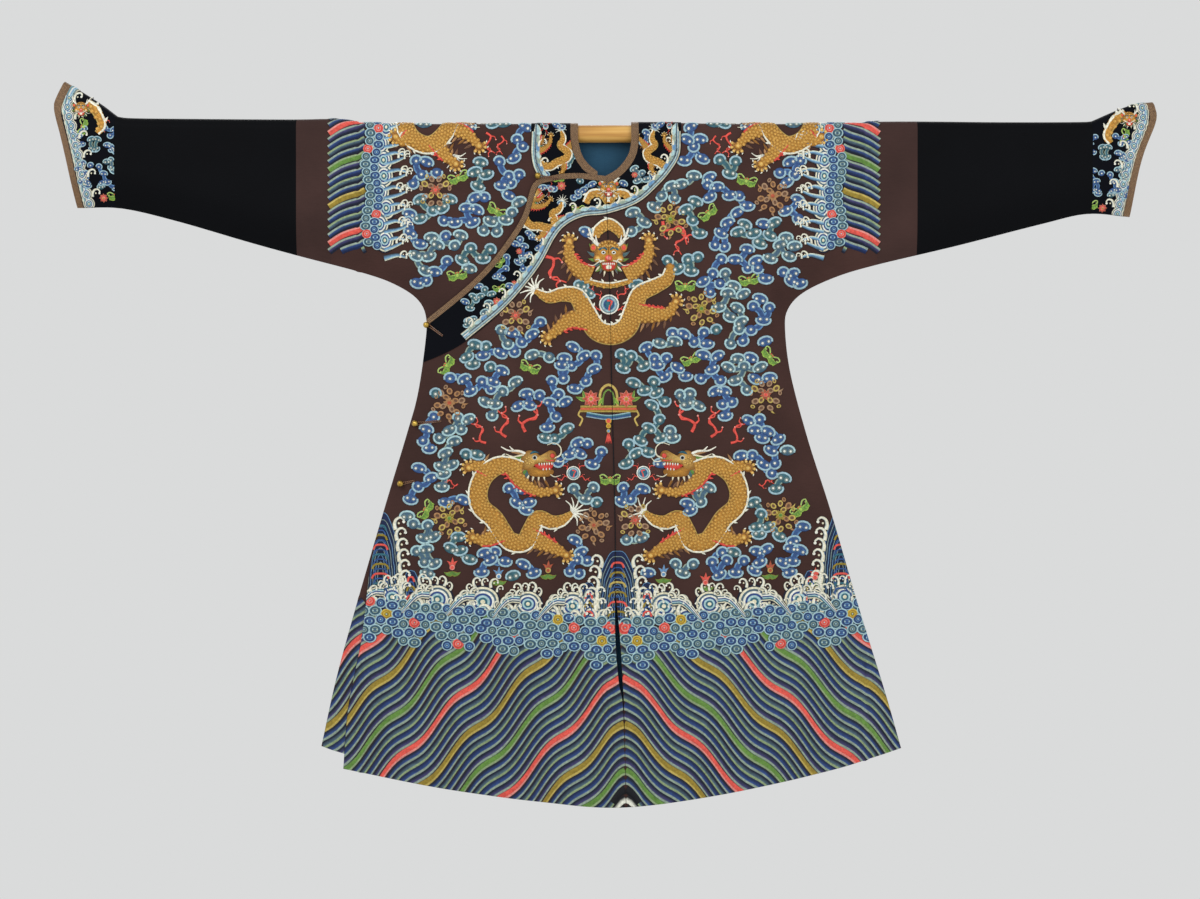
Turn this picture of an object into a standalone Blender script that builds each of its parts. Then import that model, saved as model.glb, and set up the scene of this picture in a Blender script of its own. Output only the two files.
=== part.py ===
"""A Chinese dragon robe hanging flat on a wooden rod.

The robe is worked out as a maker cuts it. Every piece is a region of one of two flat sheets,
the front and the back, where x runs along the sleeves and v runs down the cloth from the
shoulder fold. A sheet is divided into triangles once, along all its seams and edges, and each
piece lifts its own triangles from there, so that layers and seams follow each other exactly.

The frame has its origin at the middle of the rod. X runs to the viewer's right, -Y faces the
viewer and Z is up. The tables below are in millimetres, in that frame.
"""

import math

import bmesh
import bpy
import numpy as np
from mathutils import Matrix, Vector
from mathutils.geometry import delaunay_2d_cdt

MM = 0.001

# Rod and cloth
ROD_RADIUS = 17.5
ROD_LENGTH = 1890.0
ROD_SIDES = 40
WALL = 2.0
BAND_WALL = 1.2
BINDING_WALL = 2.6
SEAM = 0.3
NECK_BINDING = 15.0
FLAP_BINDING = 11.0
CUFF_BINDING = 14.0

# How the cloth hangs: half of the room between front and back, and how it closes at a seam
FOLD_RADIUS = ROD_RADIUS + 0.6
HANG_TOP = 18.0
HANG_HEM = 12.5
HANG_EASED_AT = 700.0
HANG_EASE = 80.0
SEAM_CLOSE = 75.0

# Mesh spacing
COLUMN = 44.0
ROW = 62.0
FOLD_ROWS = 5
FOLD_ZONE = 36.0
KEEP_OFF = 11.0
KEEP_OFF_BELOW = 17.6
SHEET_LENGTH = 1480.0
WELD = 0.8
COLUMNS = np.arange(-26, 27) * COLUMN

# Where the sleeve pieces meet, as x on the viewer's left and right
CUFF_AT = (-977.0, 973.0)
EXTENSION_AT = (-615.0, 624.0)
PATCH_AT = (-547.0, 545.0)
SLEEVE_DEPTH = 380.0
SLEEVE_LOWEST = -300.0

# Shoulder line: x, height of the cloth's top, radius of its fold
SHOULDER = [
    (-1130.0, 136.0, 8.0),
    (-1079.0, 104.0, 8.0),
    (-1045.0, 84.0, 10.0),
    (-1003.0, 57.0, 14.0),
    (-977.0, 38.0, 16.0),
    (-955.0, 32.0, 18.5),
    (-800.0, 30.0, 18.5),
    (-620.0, 29.0, 18.5),
    (-545.0, 30.0, 18.5),
    (-490.0, 24.0, 18.0),
    (-450.0, 20.4, FOLD_RADIUS),
    (0.0, 20.3, FOLD_RADIUS),
    (480.0, 20.4, FOLD_RADIUS),
    (520.0, 24.0, 18.0),
    (620.0, 25.0, 18.5),
    (800.0, 23.5, 18.5),
    (955.0, 24.0, 18.5),
    (977.0, 27.0, 16.0),
    (1019.0, 45.0, 13.0),
    (1057.0, 58.5, 10.0),
    (1095.0, 63.0, 8.0),
    (1130.0, 68.0, 8.0),
]

# Cuff mouths: x, z
LEFT_MOUTH = [(-1079, 104), (-1094, 72), (-1098, 48), (-1085, -4), (-1070, -70), (-1054, -148)]
RIGHT_MOUTH = [(1095, 63), (1102, 42), (1099, 18), (1076, -38), (1061, -96), (1050, -166)]

# Underside of the sleeve and side of the body, from cuff to hem: x, z
LEFT_SEAM = [
    (-1054, -148),
    (-966, -149),
    (-857, -174),
    (-713, -216),
    (-615, -243),
    (-479, -279),
    (-415, -303),
    (-372, -333),
    (-356, -372),
    (-360, -434),
    (-374, -524),
    (-395, -600),
    (-439, -746),
    (-499, -952),
    (-537, -1092),
    (-566, -1224),
]
RIGHT_SEAM = [
    (1050, -166),
    (965, -160),
    (871, -181),
    (703, -224),
    (543, -262),
    (463, -286),
    (398, -317),
    (367, -350),
    (361, -390),
    (372, -480),
    (407, -612),
    (453, -756),
    (509, -948),
    (561, -1116),
    (593, -1228),
]

# Hems: x, z
FRONT_HEM = [
    (593, -1228),
    (535, -1246),
    (439, -1275),
    (247, -1317),
    (43, -1345),
    (-129, -1334),
    (-329, -1306),
    (-521, -1268),
]
UNDERLAP_HEM = [(-566, -1224), (-520, -1238), (-329, -1287), (-62, -1322)]
BACK_HEM = [
    (593, -1228),
    (420, -1272),
    (220, -1312),
    (30, -1334),
    (-200, -1312),
    (-400, -1270),
    (-566, -1224),
]

# Neckline, centre seam and the slit below it: x, z
NECK_RIGHT = [(2, -86), (24, -73), (41, -54), (50, -36), (53, -14), (53, 2)]
NECK_LEFT = [(2, -86), (-22, -71), (-38, -55), (-47, -38), (-52, -16), (-53, 2)]
BACK_NECK = [(-53, 2), (-44, -6), (-22, -10), (0, -11), (22, -10), (44, -6), (53, 2)]
CENTRE_SEAM = [(2, -86), (10, -300), (15, -532), (21, -772), (21, -912)]
SLIT_FLAP = [(21, -912), (22, -1010), (29, -1095), (38, -1154), (43, -1345)]
SLIT_MAIN = [(21, -912), (31, -1010), (36, -1095), (39, -1154), (43, -1345)]
BACK_SEAM = [(0, -11), (8, -400), (20, -900), (30, -1334)]
UNDERLAP_FRONT = [(-14, -76), (-22, -300), (-40, -700), (-62, -1322)]

# The overlap's bound top edge, from the neck to the underarm, and its free lower edge: x, z
FLAP_EDGE = [
    (2, -86),
    (-30, -82),
    (-60, -80),
    (-104, -85),
    (-142, -101),
    (-165, -168),
    (-210, -236),
    (-256, -288),
    (-308, -334),
    (-356, -372),
]
FLAP_SIDE = [(-465, -834), (-474, -930), (-484, -1010), (-495, -1066), (-511, -1150), (-521, -1268)]

# Outer edge of the dark collar band: x, z
BAND_RIGHT = [
    (153, 2),
    (151, -42),
    (135, -73),
    (109, -104),
    (67, -140),
    (7, -162),
    (-41, -168),
    (-75, -184),
    (-98, -210),
    (-133, -272),
    (-195, -346),
    (-275, -414),
    (-333, -446),
    (-400, -470),
]
BAND_LEFT = [(-146, 2), (-147, -40), (-143, -66), (-134, -86), (-122, -110)]
BAND_BACK = [
    (-146, 2),
    (-141, -40),
    (-118, -78),
    (-70, -104),
    (0, -113),
    (70, -104),
    (122, -78),
    (147, -40),
    (153, 2),
]

# Corners that close a shape off past the edge of its cloth, in x and v
ABOVE_BAND = [(-400, -30), (153, -30)]
ABOVE_LEFT_BAND = [(30, 150), (30, -30), (-146, -30)]
LEFT_OF_BACK_SEAM = [(-1300, 1500), (-1300, -60), (0, -60)]

# Soft folds: x and z at the top, x and z at the bottom, half width, depth outwards
FRONT_FOLDS = [
    (215, -60, 250, -560, 60, -4.5),
    (290, -80, 345, -700, 58, 5.5),
    (120, -360, 60, -720, 62, -3.5),
    (175, -760, 235, -1400, 85, 5.0),
    (375, -820, 455, -1400, 70, -4.5),
    (-225, -560, -315, -1400, 88, 5.0),
    (-75, -620, -105, -1400, 75, -4.0),
    (-265, -40, -250, -300, 55, 3.5),
    (-395, -40, -380, -260, 48, -3.0),
]
BACK_FOLDS = [
    (-180, -60, -235, -820, 70, 5.0),
    (-330, -500, -420, -1400, 75, -4.5),
    (-60, -420, -95, -1400, 80, 4.5),
    (130, -60, 165, -760, 66, -4.0),
    (255, -120, 330, -900, 68, 5.0),
    (150, -860, 210, -1400, 82, -4.0),
    (420, -760, 500, -1400, 66, 4.0),
]

# Ball buttons: x, z of the ball, x and z of the far end of its loop, wall of the trim it stands on
BUTTONS = {
    "neck": (-133, -86, -92, -92, BAND_WALL),
    "underarm": (-351, -382, -322, -404, BAND_WALL),
    "waist": (-375, -580, -326, -574, 0.0),
    "hip": (-404, -700, -379, -694, 0.0),
}
BALL_RADIUS = 6.5
SHANK_RADIUS = 1.6
SHANK_HEIGHT = 3.0
CORD_RADIUS = 1.1
STRAND_GAP = 2.8
BALL_ABOVE = 9.0
BALL_SUNK = 0.4
BALL_RINGS = 8
BALL_SIDES = 14
STRAND_CLEAR = 0.5

# Colours as the material's red, green and blue, with roughness and metallic
MATERIALS = {
    "brown_silk": ((0.065, 0.034, 0.029), 0.62, 0.0),
    "brown_band": ((0.080, 0.043, 0.038), 0.6, 0.0),
    "black_silk": ((0.006, 0.007, 0.010), 0.6, 0.0),
    "navy_silk": ((0.005, 0.007, 0.014), 0.58, 0.0),
    "gold_braid": ((0.22, 0.13, 0.065), 0.5, 0.1),
    "brass": ((0.62, 0.42, 0.12), 0.3, 1.0),
    "brown_cord": ((0.09, 0.045, 0.025), 0.7, 0.0),
    "pale_wood": ((0.62, 0.38, 0.16), 0.45, 0.0),
}


def material(name):
    """The Principled material of that name, made once."""
    made = bpy.data.materials.get(name)
    if made:
        return made
    colour, roughness, metallic = MATERIALS[name]
    made = bpy.data.materials.new(name)
    made.use_nodes = True
    shader = made.node_tree.nodes["Principled BSDF"]
    shader.inputs["Base Color"].default_value = (*colour, 1.0)
    shader.inputs["Roughness"].default_value = roughness
    shader.inputs["Metallic"].default_value = metallic
    made.diffuse_color = (*colour, 1.0)
    return made


def add(name, data, material_name):
    """An object of that name in the scene, with its material."""
    made = bpy.data.objects.new(name, data)
    bpy.context.scene.collection.objects.link(made)
    data.materials.append(material(material_name))
    return made


def smooth(t):
    """0 to 1 with soft ends."""
    t = np.clip(t, 0.0, 1.0)
    return t * t * (3.0 - 2.0 * t)


def curve(rows, step):
    """Points about step apart on a smooth curve through the rows, ends included."""
    p = np.array(rows, float)
    ends = np.vstack([2 * p[0] - p[1], p, 2 * p[-1] - p[-2]])
    made = [p[0]]
    for i in range(len(p) - 1):
        a, b, c, d = ends[i : i + 4]
        count = max(1, round(np.linalg.norm(c - b) / step))
        for k in range(1, count + 1):
            t = k / count
            bend = (2 * a - 5 * b + 4 * c - d) * t**2 + (3 * b - a - 3 * c + d) * t**3
            made.append(0.5 * (2 * b + (c - a) * t + bend))
    return np.array(made)


def beside(points, distance):
    """The same line moved sideways, to the right of its direction for a positive distance."""
    along = np.gradient(points, axis=0)
    along /= np.linalg.norm(along, axis=1, keepdims=True)
    return points + distance * np.column_stack([along[:, 1], -along[:, 0]])


def strip(points, width, level=False):
    """The inner edge of a strip beside a line, and the strip. It lies to the right of the line's
    direction for a positive width, or level strips simply lie that far along x."""
    ends = []
    for tip, before in ((points[0], points[1]), (points[-1], points[-2])):
        ends.append(tip + (tip - before) / np.linalg.norm(tip - before) * abs(width))
    longer = np.vstack([ends[0], points, ends[1]])
    inner = longer + np.array([width, 0.0]) if level else beside(longer, width)
    return inner, np.vstack([longer, inner[::-1]])


def inside(points, polygon):
    """Which points lie in a closed polygon."""
    x, y = points[:, 0, None], points[:, 1, None]
    a, b = polygon, np.roll(polygon, -1, axis=0)
    rise = b[:, 1] - a[:, 1]
    rise = np.where(rise == 0, 1e-12, rise)
    spans = (a[:, 1] > y) != (b[:, 1] > y)
    crossing = a[:, 0] + (y - a[:, 1]) * (b[:, 0] - a[:, 0]) / rise
    return (spans & (x < crossing)).sum(axis=1) % 2 == 1


def distance(points, line):
    """Distance of each point from a polyline."""
    a, ab = line[:-1], np.diff(line, axis=0)
    ap = points[:, None, :] - a[None]
    t = np.clip((ap * ab).sum(2) / (ab**2).sum(1), 0.0, 1.0)
    return np.linalg.norm(ap - t[..., None] * ab, axis=2).min(axis=1)


SHOULDER_LINE = curve(SHOULDER, 12.0)
SIDE_SEAMS = [curve(LEFT_SEAM, 16.0), curve(RIGHT_SEAM, 16.0)]


def fold_at(x):
    """Radius of the shoulder fold at x, and the height of its centre."""
    top = np.interp(x, SHOULDER_LINE[:, 0], SHOULDER_LINE[:, 1]) - WALL
    radius = np.interp(x, SHOULDER_LINE[:, 0], SHOULDER_LINE[:, 2])
    return radius, top - radius


def flat(points):
    """Points of the front view, x and z, as x and v on the flat sheet."""
    points = np.asarray(points, float)
    radius, centre = fold_at(points[:, 0])
    rise = np.clip((points[:, 1] - centre) / radius, 0.0, 1.0)
    v = np.where(
        points[:, 1] > centre,
        radius * np.arccos(rise),
        radius * math.pi / 2 + centre - points[:, 1],
    )
    return np.column_stack([points[:, 0], v])


def folds(x, z, side):
    """How far the soft folds push the cloth outwards."""
    push = np.zeros_like(x)
    for x0, z0, x1, z1, half, depth in FRONT_FOLDS if side < 0 else BACK_FOLDS:
        t = (z - z0) / (z1 - z0)
        across = (x - (x0 + (x1 - x0) * t)) / half
        along = smooth(t / 0.25) * smooth((1.0 - t) / 0.25)
        push += depth * along * np.cos(np.clip(across, -1, 1) * math.pi / 2) ** 2
    return push


def rest(x, v, side):
    """The cloth's inner face in space, for points x and v of a sheet."""
    radius, centre = fold_at(x)
    quarter = radius * math.pi / 2
    turn = np.minimum(v, quarter) / radius
    below = np.maximum(v - quarter, 0.0)
    z = centre + radius * np.cos(turn) - below
    hang = HANG_TOP + (HANG_HEM - HANG_TOP) * smooth(-z / HANG_EASED_AT)
    y = radius * np.sin(turn) + (hang - radius) * smooth(below / HANG_EASE)
    view = np.column_stack([x, z])
    near = np.minimum(distance(view, SIDE_SEAMS[0]), distance(view, SIDE_SEAMS[1]))
    close = np.sin(np.minimum(near / SEAM_CLOSE, 1.0) * math.pi / 2)
    y = (y + folds(x, z, side)) * close + SEAM / 2
    return np.column_stack([x, side * y, z])


def placed(points, side, lift):
    """Points of a sheet in space, lifted off its inner face along its outward direction."""
    x, v = points[:, 0], points[:, 1]
    step = 1.0
    across = rest(x + step, v, side) - rest(x - step, v, side)
    down = rest(x, v + step, side) - rest(x, v - step, side)
    out = np.cross(down, across) * -side
    out /= np.linalg.norm(out, axis=1, keepdims=True)
    return rest(x, v, side) + out * np.asarray(lift, float).reshape(-1, 1)


def fold_rows():
    """The values of v where the shoulder fold is divided."""
    return [FOLD_RADIUS * math.pi / 2 * k / FOLD_ROWS for k in range(1, FOLD_ROWS + 1)]


def with_rows(points):
    """A line of the sheet, with a point wherever it crosses a row of the shoulder fold."""
    made = [points[0]]
    for a, b in zip(points[:-1], points[1:]):
        shares = [(row - a[1]) / (b[1] - a[1]) for row in fold_rows() if abs(b[1] - a[1]) > 1e-6]
        made += [a + t * (b - a) for t in sorted(shares) if 0.04 < t < 0.96]
        made.append(b)
    return np.array(made)


def cross_line(x, lowest):
    """A seam straight down the sheet at x, from above the fold to a height below the cloth."""
    radius, centre = fold_at(np.array([x]))
    longest = radius[0] * math.pi / 2 + centre[0] - lowest
    rows = [-20.0, 0.0, *fold_rows()]
    rows += list(np.arange(rows[-1] + ROW / 2, longest, ROW / 2)) + [longest]
    return np.array([(x, v) for v in rows])


def triangulate(lines):
    """One sheet divided into triangles along all the lines: its points and its triangles."""
    rows = list(fold_rows())
    rows += list(np.arange(rows[-1] + ROW / 3, SHEET_LENGTH, ROW))
    grid = np.array([(x, v) for v in rows for x in COLUMNS])
    off = np.min([distance(grid, line) for line in lines if line[:, 1].max() > 0.0], axis=0)
    keep = off > np.where(grid[:, 1] < FOLD_ZONE, KEEP_OFF, KEEP_OFF_BELOW)
    points, edges = list(grid[keep]), []
    for line in lines:
        edges += [(len(points) + i, len(points) + i + 1) for i in range(len(line) - 1)]
        points += list(line)
    made = delaunay_2d_cdt([Vector(p) for p in points], edges, [], 0, WELD)
    return np.array([tuple(p) for p in made[0]]), np.array([tuple(f) for f in made[2]])


def largest(faces):
    """The largest group of triangles that share edges."""
    by_edge = {}
    for i, face in enumerate(faces):
        for a, b in zip(face, np.roll(face, -1)):
            by_edge.setdefault((min(a, b), max(a, b)), []).append(i)
    links = {}
    for pair in by_edge.values():
        for i in pair:
            links.setdefault(i, set()).update(pair)
    left, best = set(range(len(faces))), []
    while left:
        group, todo = [], [left.pop()]
        while todo:
            i = todo.pop()
            group.append(i)
            fresh = links[i] & left
            left -= fresh
            todo += fresh
        best = max(best, group, key=len)
    return faces[sorted(best)]


def drawn_in(points, faces):
    """The region's points with its border drawn in by half a seam gap, and the border's edges."""
    used = {}
    for face in faces:
        for a, b in zip(face, np.roll(face, -1)):
            used[(a, b)] = True
    border = [(a, b) for a, b in used if (b, a) not in used]
    pull = {}
    for a, b in border:
        along = points[b] - points[a]
        inward = np.array([-along[1], along[0]]) / np.linalg.norm(along)
        pull.setdefault(a, []).append(inward)
        pull.setdefault(b, []).append(inward)
    moved = points.copy()
    for i, inwards in pull.items():
        total = np.sum(inwards, axis=0)
        length = np.linalg.norm(total)
        share = min(2.0, 2.0 / max(length, 0.4)) / max(length, 0.4)
        moved[i] = points[i] + total * share * SEAM / 2
    return moved, border


def piece(name, sheet, side, chosen, lift, wall, material_name):
    """A cloth piece: the chosen triangles of a sheet as a wall, lifted off the inner face."""
    points, faces = sheet
    faces = largest(faces[chosen])
    flip = np.cross(
        points[faces[:, 1]] - points[faces[:, 0]], points[faces[:, 2]] - points[faces[:, 0]]
    )
    faces = np.where(flip[:, None] < 0, faces[:, ::-1], faces)
    moved, border = drawn_in(points, faces)
    used = np.unique(faces)
    index = {int(old): new for new, old in enumerate(used)}
    local = moved[used]
    base = lift(local[:, 0]) if callable(lift) else np.full(len(local), float(lift))
    inner = placed(local, side, base)
    outer = placed(local, side, base + wall)
    bm = bmesh.new()
    under = [bm.verts.new(p * MM) for p in inner]
    over = [bm.verts.new(p * MM) for p in outer]
    for a, b, c in faces:
        a, b, c = index[int(a)], index[int(b)], index[int(c)]
        bm.faces.new((over[a], over[b], over[c]))
        bm.faces.new((under[c], under[b], under[a]))
    for a, b in border:
        a, b = index[int(a)], index[int(b)]
        bm.faces.new((over[b], over[a], under[a]))
        bm.faces.new((over[b], under[a], under[b]))
    bmesh.ops.recalc_face_normals(bm, faces=bm.faces)
    data = bpy.data.meshes.new(name)
    bm.to_mesh(data)
    bm.free()
    data.shade_smooth()
    data.set_sharp_from_angle(angle=math.radians(50))
    return add(name, data, material_name)


def outer_lift(x):
    """The overlap and the main front lie over the underlap, and come level with it further right."""
    return (WALL + SEAM) * (1.0 - smooth((x - 110.0) / 150.0))


def over_outer(x):
    """What lies on the overlap and the main front."""
    return outer_lift(x) + WALL + SEAM


# Lines of the sheets, in x and v
LEFT_SEAM_LINE = flat(curve(LEFT_SEAM, 34.0))
RIGHT_SEAM_LINE = flat(curve(RIGHT_SEAM, 34.0))
LEFT_MOUTH_LINE = with_rows(flat(curve(LEFT_MOUTH, 26.0)))
RIGHT_MOUTH_LINE = with_rows(flat(curve(RIGHT_MOUTH, 26.0)))
HEM_LINE = flat(curve(FRONT_HEM, 46.0))
UNDERLAP_HEM_LINE = flat(curve(UNDERLAP_HEM, 46.0))
BACK_HEM_LINE = flat(curve(BACK_HEM, 46.0))
CENTRE_LINE = flat(curve(CENTRE_SEAM, 50.0))
SLIT_FLAP_LINE = flat(curve(SLIT_FLAP, 46.0))
SLIT_MAIN_LINE = flat(curve(SLIT_MAIN, 46.0))
BACK_SEAM_LINE = flat(curve(BACK_SEAM, 60.0))
UNDERLAP_FRONT_LINE = flat(curve(UNDERLAP_FRONT, 60.0))
FLAP_EDGE_LINE = flat(curve(FLAP_EDGE, 24.0))
FLAP_SIDE_LINE = flat(curve(FLAP_SIDE, 40.0))


def up_to_fold(points):
    """A line of the sheet that starts or ends at the rod's height, led on over the fold to v = 0."""
    rows = [0.0, *fold_rows()[:-1]]
    if points[0][1] < points[-1][1]:
        return np.vstack([[(points[0][0], v) for v in rows], points])
    return np.vstack([points, [(points[-1][0], v) for v in rows[::-1]]])


NECK_RIGHT_LINE = up_to_fold(flat(curve(NECK_RIGHT, 12.0)))
NECK_LEFT_LINE = up_to_fold(flat(curve(NECK_LEFT, 12.0)))
BAND_RIGHT_LINE = up_to_fold(flat(curve(BAND_RIGHT, 26.0)))
BAND_LEFT_LINE = up_to_fold(flat(curve(BAND_LEFT, 22.0)))


def both_ends_to_fold(points):
    """A line round the back of the neck, led over the fold at both of its ends."""
    rows = [0.0, *fold_rows()[:-1]]
    first = [(points[0][0], v) for v in rows]
    last = [(points[-1][0], v) for v in rows[::-1]]
    return np.vstack([first, points, last])


BACK_NECK_LINE = both_ends_to_fold(flat(curve(BACK_NECK, 14.0)))
BAND_BACK_LINE = both_ends_to_fold(flat(curve(BAND_BACK, 28.0)))
LEFT_TIP, RIGHT_TIP = LEFT_MOUTH[0][0], RIGHT_MOUTH[0][0]

# Bindings: the edge that is bound, and the width, positive to the right of its direction
BINDINGS = {
    "left_cuff": (LEFT_MOUTH_LINE, CUFF_BINDING, True),
    "right_cuff": (RIGHT_MOUTH_LINE, -CUFF_BINDING, True),
    "neck_left": (NECK_LEFT_LINE, NECK_BINDING),
    "neck_right": (NECK_RIGHT_LINE, -NECK_BINDING),
    "neck_back": (BACK_NECK_LINE, -NECK_BINDING),
    "overlap": (FLAP_EDGE_LINE, FLAP_BINDING),
}
FRONT_BINDINGS = ("left_cuff", "right_cuff", "neck_left", "neck_right", "overlap")
BACK_BINDINGS = ("left_cuff", "right_cuff", "neck_back")


def fold_line(x0, x1):
    """The shoulder fold from x0 to x1, with a point on each column."""
    low, high = min(x0, x1) + KEEP_OFF, max(x0, x1) - KEEP_OFF
    between = COLUMNS[(COLUMNS > low) & (COLUMNS < high)]
    points = [(x, 0.0) for x in (min(x0, x1), *between, max(x0, x1))]
    return np.array(points if x0 < x1 else points[::-1])


def flap_outline():
    """The overlap, all round."""
    joins = LEFT_SEAM_LINE[:, 1] > FLAP_EDGE_LINE[-1][1] + 1.0
    meets = LEFT_SEAM_LINE[:, 1] < FLAP_SIDE_LINE[0][1] - 12.0
    side = np.vstack([LEFT_SEAM_LINE[joins & meets], FLAP_SIDE_LINE])
    hem = HEM_LINE[HEM_LINE[:, 0] < SLIT_FLAP[-1][0] + 0.5]
    return [FLAP_EDGE_LINE, side, hem[::-1], SLIT_FLAP_LINE[::-1], CENTRE_LINE[::-1]]


def under_outline():
    """The underlap with its whole sleeve, all round."""
    return [
        NECK_LEFT_LINE[NECK_LEFT_LINE[:, 0] < UNDERLAP_FRONT[0][0]],
        fold_line(NECK_LEFT[-1][0], LEFT_TIP),
        LEFT_MOUTH_LINE,
        LEFT_SEAM_LINE,
        UNDERLAP_HEM_LINE,
        UNDERLAP_FRONT_LINE[::-1],
    ]


def main_outline():
    """The main front with its whole sleeve, all round."""
    hem = HEM_LINE[HEM_LINE[:, 0] > SLIT_MAIN[-1][0] - 0.5]
    return [
        NECK_RIGHT_LINE,
        fold_line(NECK_RIGHT[-1][0], RIGHT_TIP),
        RIGHT_MOUTH_LINE,
        RIGHT_SEAM_LINE,
        hem,
        SLIT_MAIN_LINE[::-1],
        CENTRE_LINE[::-1],
    ]


def back_outline():
    """The whole back, all round."""
    return [
        BACK_NECK_LINE,
        fold_line(NECK_RIGHT[-1][0], RIGHT_TIP),
        RIGHT_MOUTH_LINE,
        RIGHT_SEAM_LINE,
        BACK_HEM_LINE,
        LEFT_SEAM_LINE[::-1],
        LEFT_MOUTH_LINE[::-1],
        fold_line(LEFT_TIP, NECK_LEFT[-1][0]),
    ]


def closed(lines):
    """A closed polygon from its lines."""
    return np.vstack(lines)


def region_above(line, corners):
    """The side of a line that holds the corners, as a polygon."""
    return np.vstack([line, corners])


def make_sheets():
    """The front and the back sheet, divided along every seam."""
    sleeves = [cross_line(x, SLEEVE_LOWEST) for x in (*CUFF_AT, *EXTENSION_AT, *PATCH_AT)]
    front = [*flap_outline(), *under_outline(), *main_outline(), *sleeves]
    front += [BAND_RIGHT_LINE, BAND_LEFT_LINE]
    front += [strip(*BINDINGS[name])[0] for name in FRONT_BINDINGS]
    back = [*back_outline(), *sleeves, BAND_BACK_LINE, BACK_SEAM_LINE]
    back += [strip(*BINDINGS[name])[0] for name in BACK_BINDINGS]
    return triangulate(front), triangulate(back)


def past_patches(middle):
    """Which places of a sheet lie in a sleeve, past the body's own cloth."""
    x, v = middle[:, 0], middle[:, 1]
    return ((x < PATCH_AT[0]) | (x > PATCH_AT[1])) & (v < SLEEVE_DEPTH)


def make_sleeve(side_name, whole, sheet, side, sheet_name):
    """The band, extension, cuff and cuff binding of one sleeve, on one sheet."""
    points, faces = sheet
    middle = points[faces].mean(axis=1)
    x = middle[:, 0]
    sleeve = whole & (middle[:, 1] < SLEEVE_DEPTH)
    i = 0 if side_name == "left" else 1
    sign = -1 if side_name == "left" else 1
    bound = inside(middle, strip(*BINDINGS[f"{side_name}_cuff"])[1])
    for name, start, end, cloth in (
        ("sleeve_band", PATCH_AT[i], EXTENSION_AT[i], "brown_band"),
        ("sleeve_extension", EXTENSION_AT[i], CUFF_AT[i], "black_silk"),
    ):
        chosen = sleeve & (x * sign > start * sign) & (x * sign < end * sign)
        piece(f"{name}_{side_name}_{sheet_name}", sheet, side, chosen, 0.0, WALL, cloth)
    cuff = sleeve & (x * sign > CUFF_AT[i] * sign)
    label = f"{side_name}_{sheet_name}"
    piece(f"cuff_{label}", sheet, side, cuff & ~bound, 0.0, WALL, "navy_silk")
    piece(f"cuff_binding_{label}", sheet, side, cuff & bound, 0.0, BINDING_WALL, "gold_braid")


def make_front(sheet):
    """Every cloth piece of the front."""
    points, faces = sheet
    middle = points[faces].mean(axis=1)
    body = ~past_patches(middle)
    flap = inside(middle, closed(flap_outline()))
    under = inside(middle, closed(under_outline()))
    main = inside(middle, closed(main_outline()))
    piece("underlap", sheet, -1, under & body, 0.0, WALL, "brown_silk")
    piece("overlap", sheet, -1, flap, outer_lift, WALL, "brown_silk")
    piece("front_main", sheet, -1, main & body, outer_lift, WALL, "brown_silk")
    make_sleeve("left", under, sheet, -1, "front")
    make_sleeve("right", main, sheet, -1, "front")
    make_collar(sheet, middle, flap, under, main)


def make_collar(sheet, middle, flap, under, main):
    """The dark band and the bindings on the front."""
    band = inside(middle, region_above(BAND_RIGHT_LINE, ABOVE_BAND))
    left = inside(middle, region_above(BAND_LEFT_LINE, ABOVE_LEFT_BAND))
    strips = [strip(*BINDINGS[name])[1] for name in ("neck_left", "neck_right", "overlap")]
    strip_left, strip_right, strip_flap = (inside(middle, polygon) for polygon in strips)
    on_under = under & ~flap
    lift = WALL + SEAM
    for name, chosen, height, cloth in (
        ("collar_band_left", on_under & left & ~strip_left, lift, "navy_silk"),
        ("neck_binding_left", on_under & strip_left, lift, "gold_braid"),
        ("collar_band_right", main & band & ~strip_right, over_outer, "navy_silk"),
        ("neck_binding_right", main & strip_right, over_outer, "gold_braid"),
        ("collar_band_overlap", flap & band & ~strip_flap, over_outer, "navy_silk"),
        ("overlap_binding", flap & strip_flap, over_outer, "gold_braid"),
    ):
        piece(name, sheet, -1, chosen, height, BAND_WALL, cloth)


def make_back(sheet):
    """Every cloth piece of the back."""
    points, faces = sheet
    middle = points[faces].mean(axis=1)
    whole = inside(middle, closed(back_outline()))
    left = inside(middle, region_above(BACK_SEAM_LINE, LEFT_OF_BACK_SEAM))
    body = whole & ~past_patches(middle)
    piece("back_left", sheet, 1, body & left, 0.0, WALL, "brown_silk")
    piece("back_right", sheet, 1, body & ~left, 0.0, WALL, "brown_silk")
    make_sleeve("left", whole, sheet, 1, "back")
    make_sleeve("right", whole, sheet, 1, "back")
    band = whole & inside(middle, closed([BAND_BACK_LINE]))
    bound = whole & inside(middle, strip(*BINDINGS["neck_back"])[1])
    lift = WALL + SEAM
    piece("collar_band_back", sheet, 1, band & ~bound, lift, BAND_WALL, "navy_silk")
    piece("neck_binding_back", sheet, 1, bound, lift, BAND_WALL, "gold_braid")


def make_rod():
    """The wooden rod through both sleeves."""
    bm = bmesh.new()
    bmesh.ops.create_cone(
        bm,
        cap_ends=True,
        segments=ROD_SIDES,
        radius1=ROD_RADIUS * MM,
        radius2=ROD_RADIUS * MM,
        depth=ROD_LENGTH * MM,
        matrix=Matrix.Rotation(math.pi / 2, 4, "Y"),
    )
    data = bpy.data.meshes.new("rod")
    bm.to_mesh(data)
    bm.free()
    data.shade_smooth()
    data.set_sharp_from_angle(angle=math.radians(40))
    add("rod", data, "pale_wood")


def on_front(rows, height):
    """Points of the front view placed in space, at a height over the front's inner face."""
    return placed(flat(rows), -1, np.full(len(rows), height)) * MM


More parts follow.
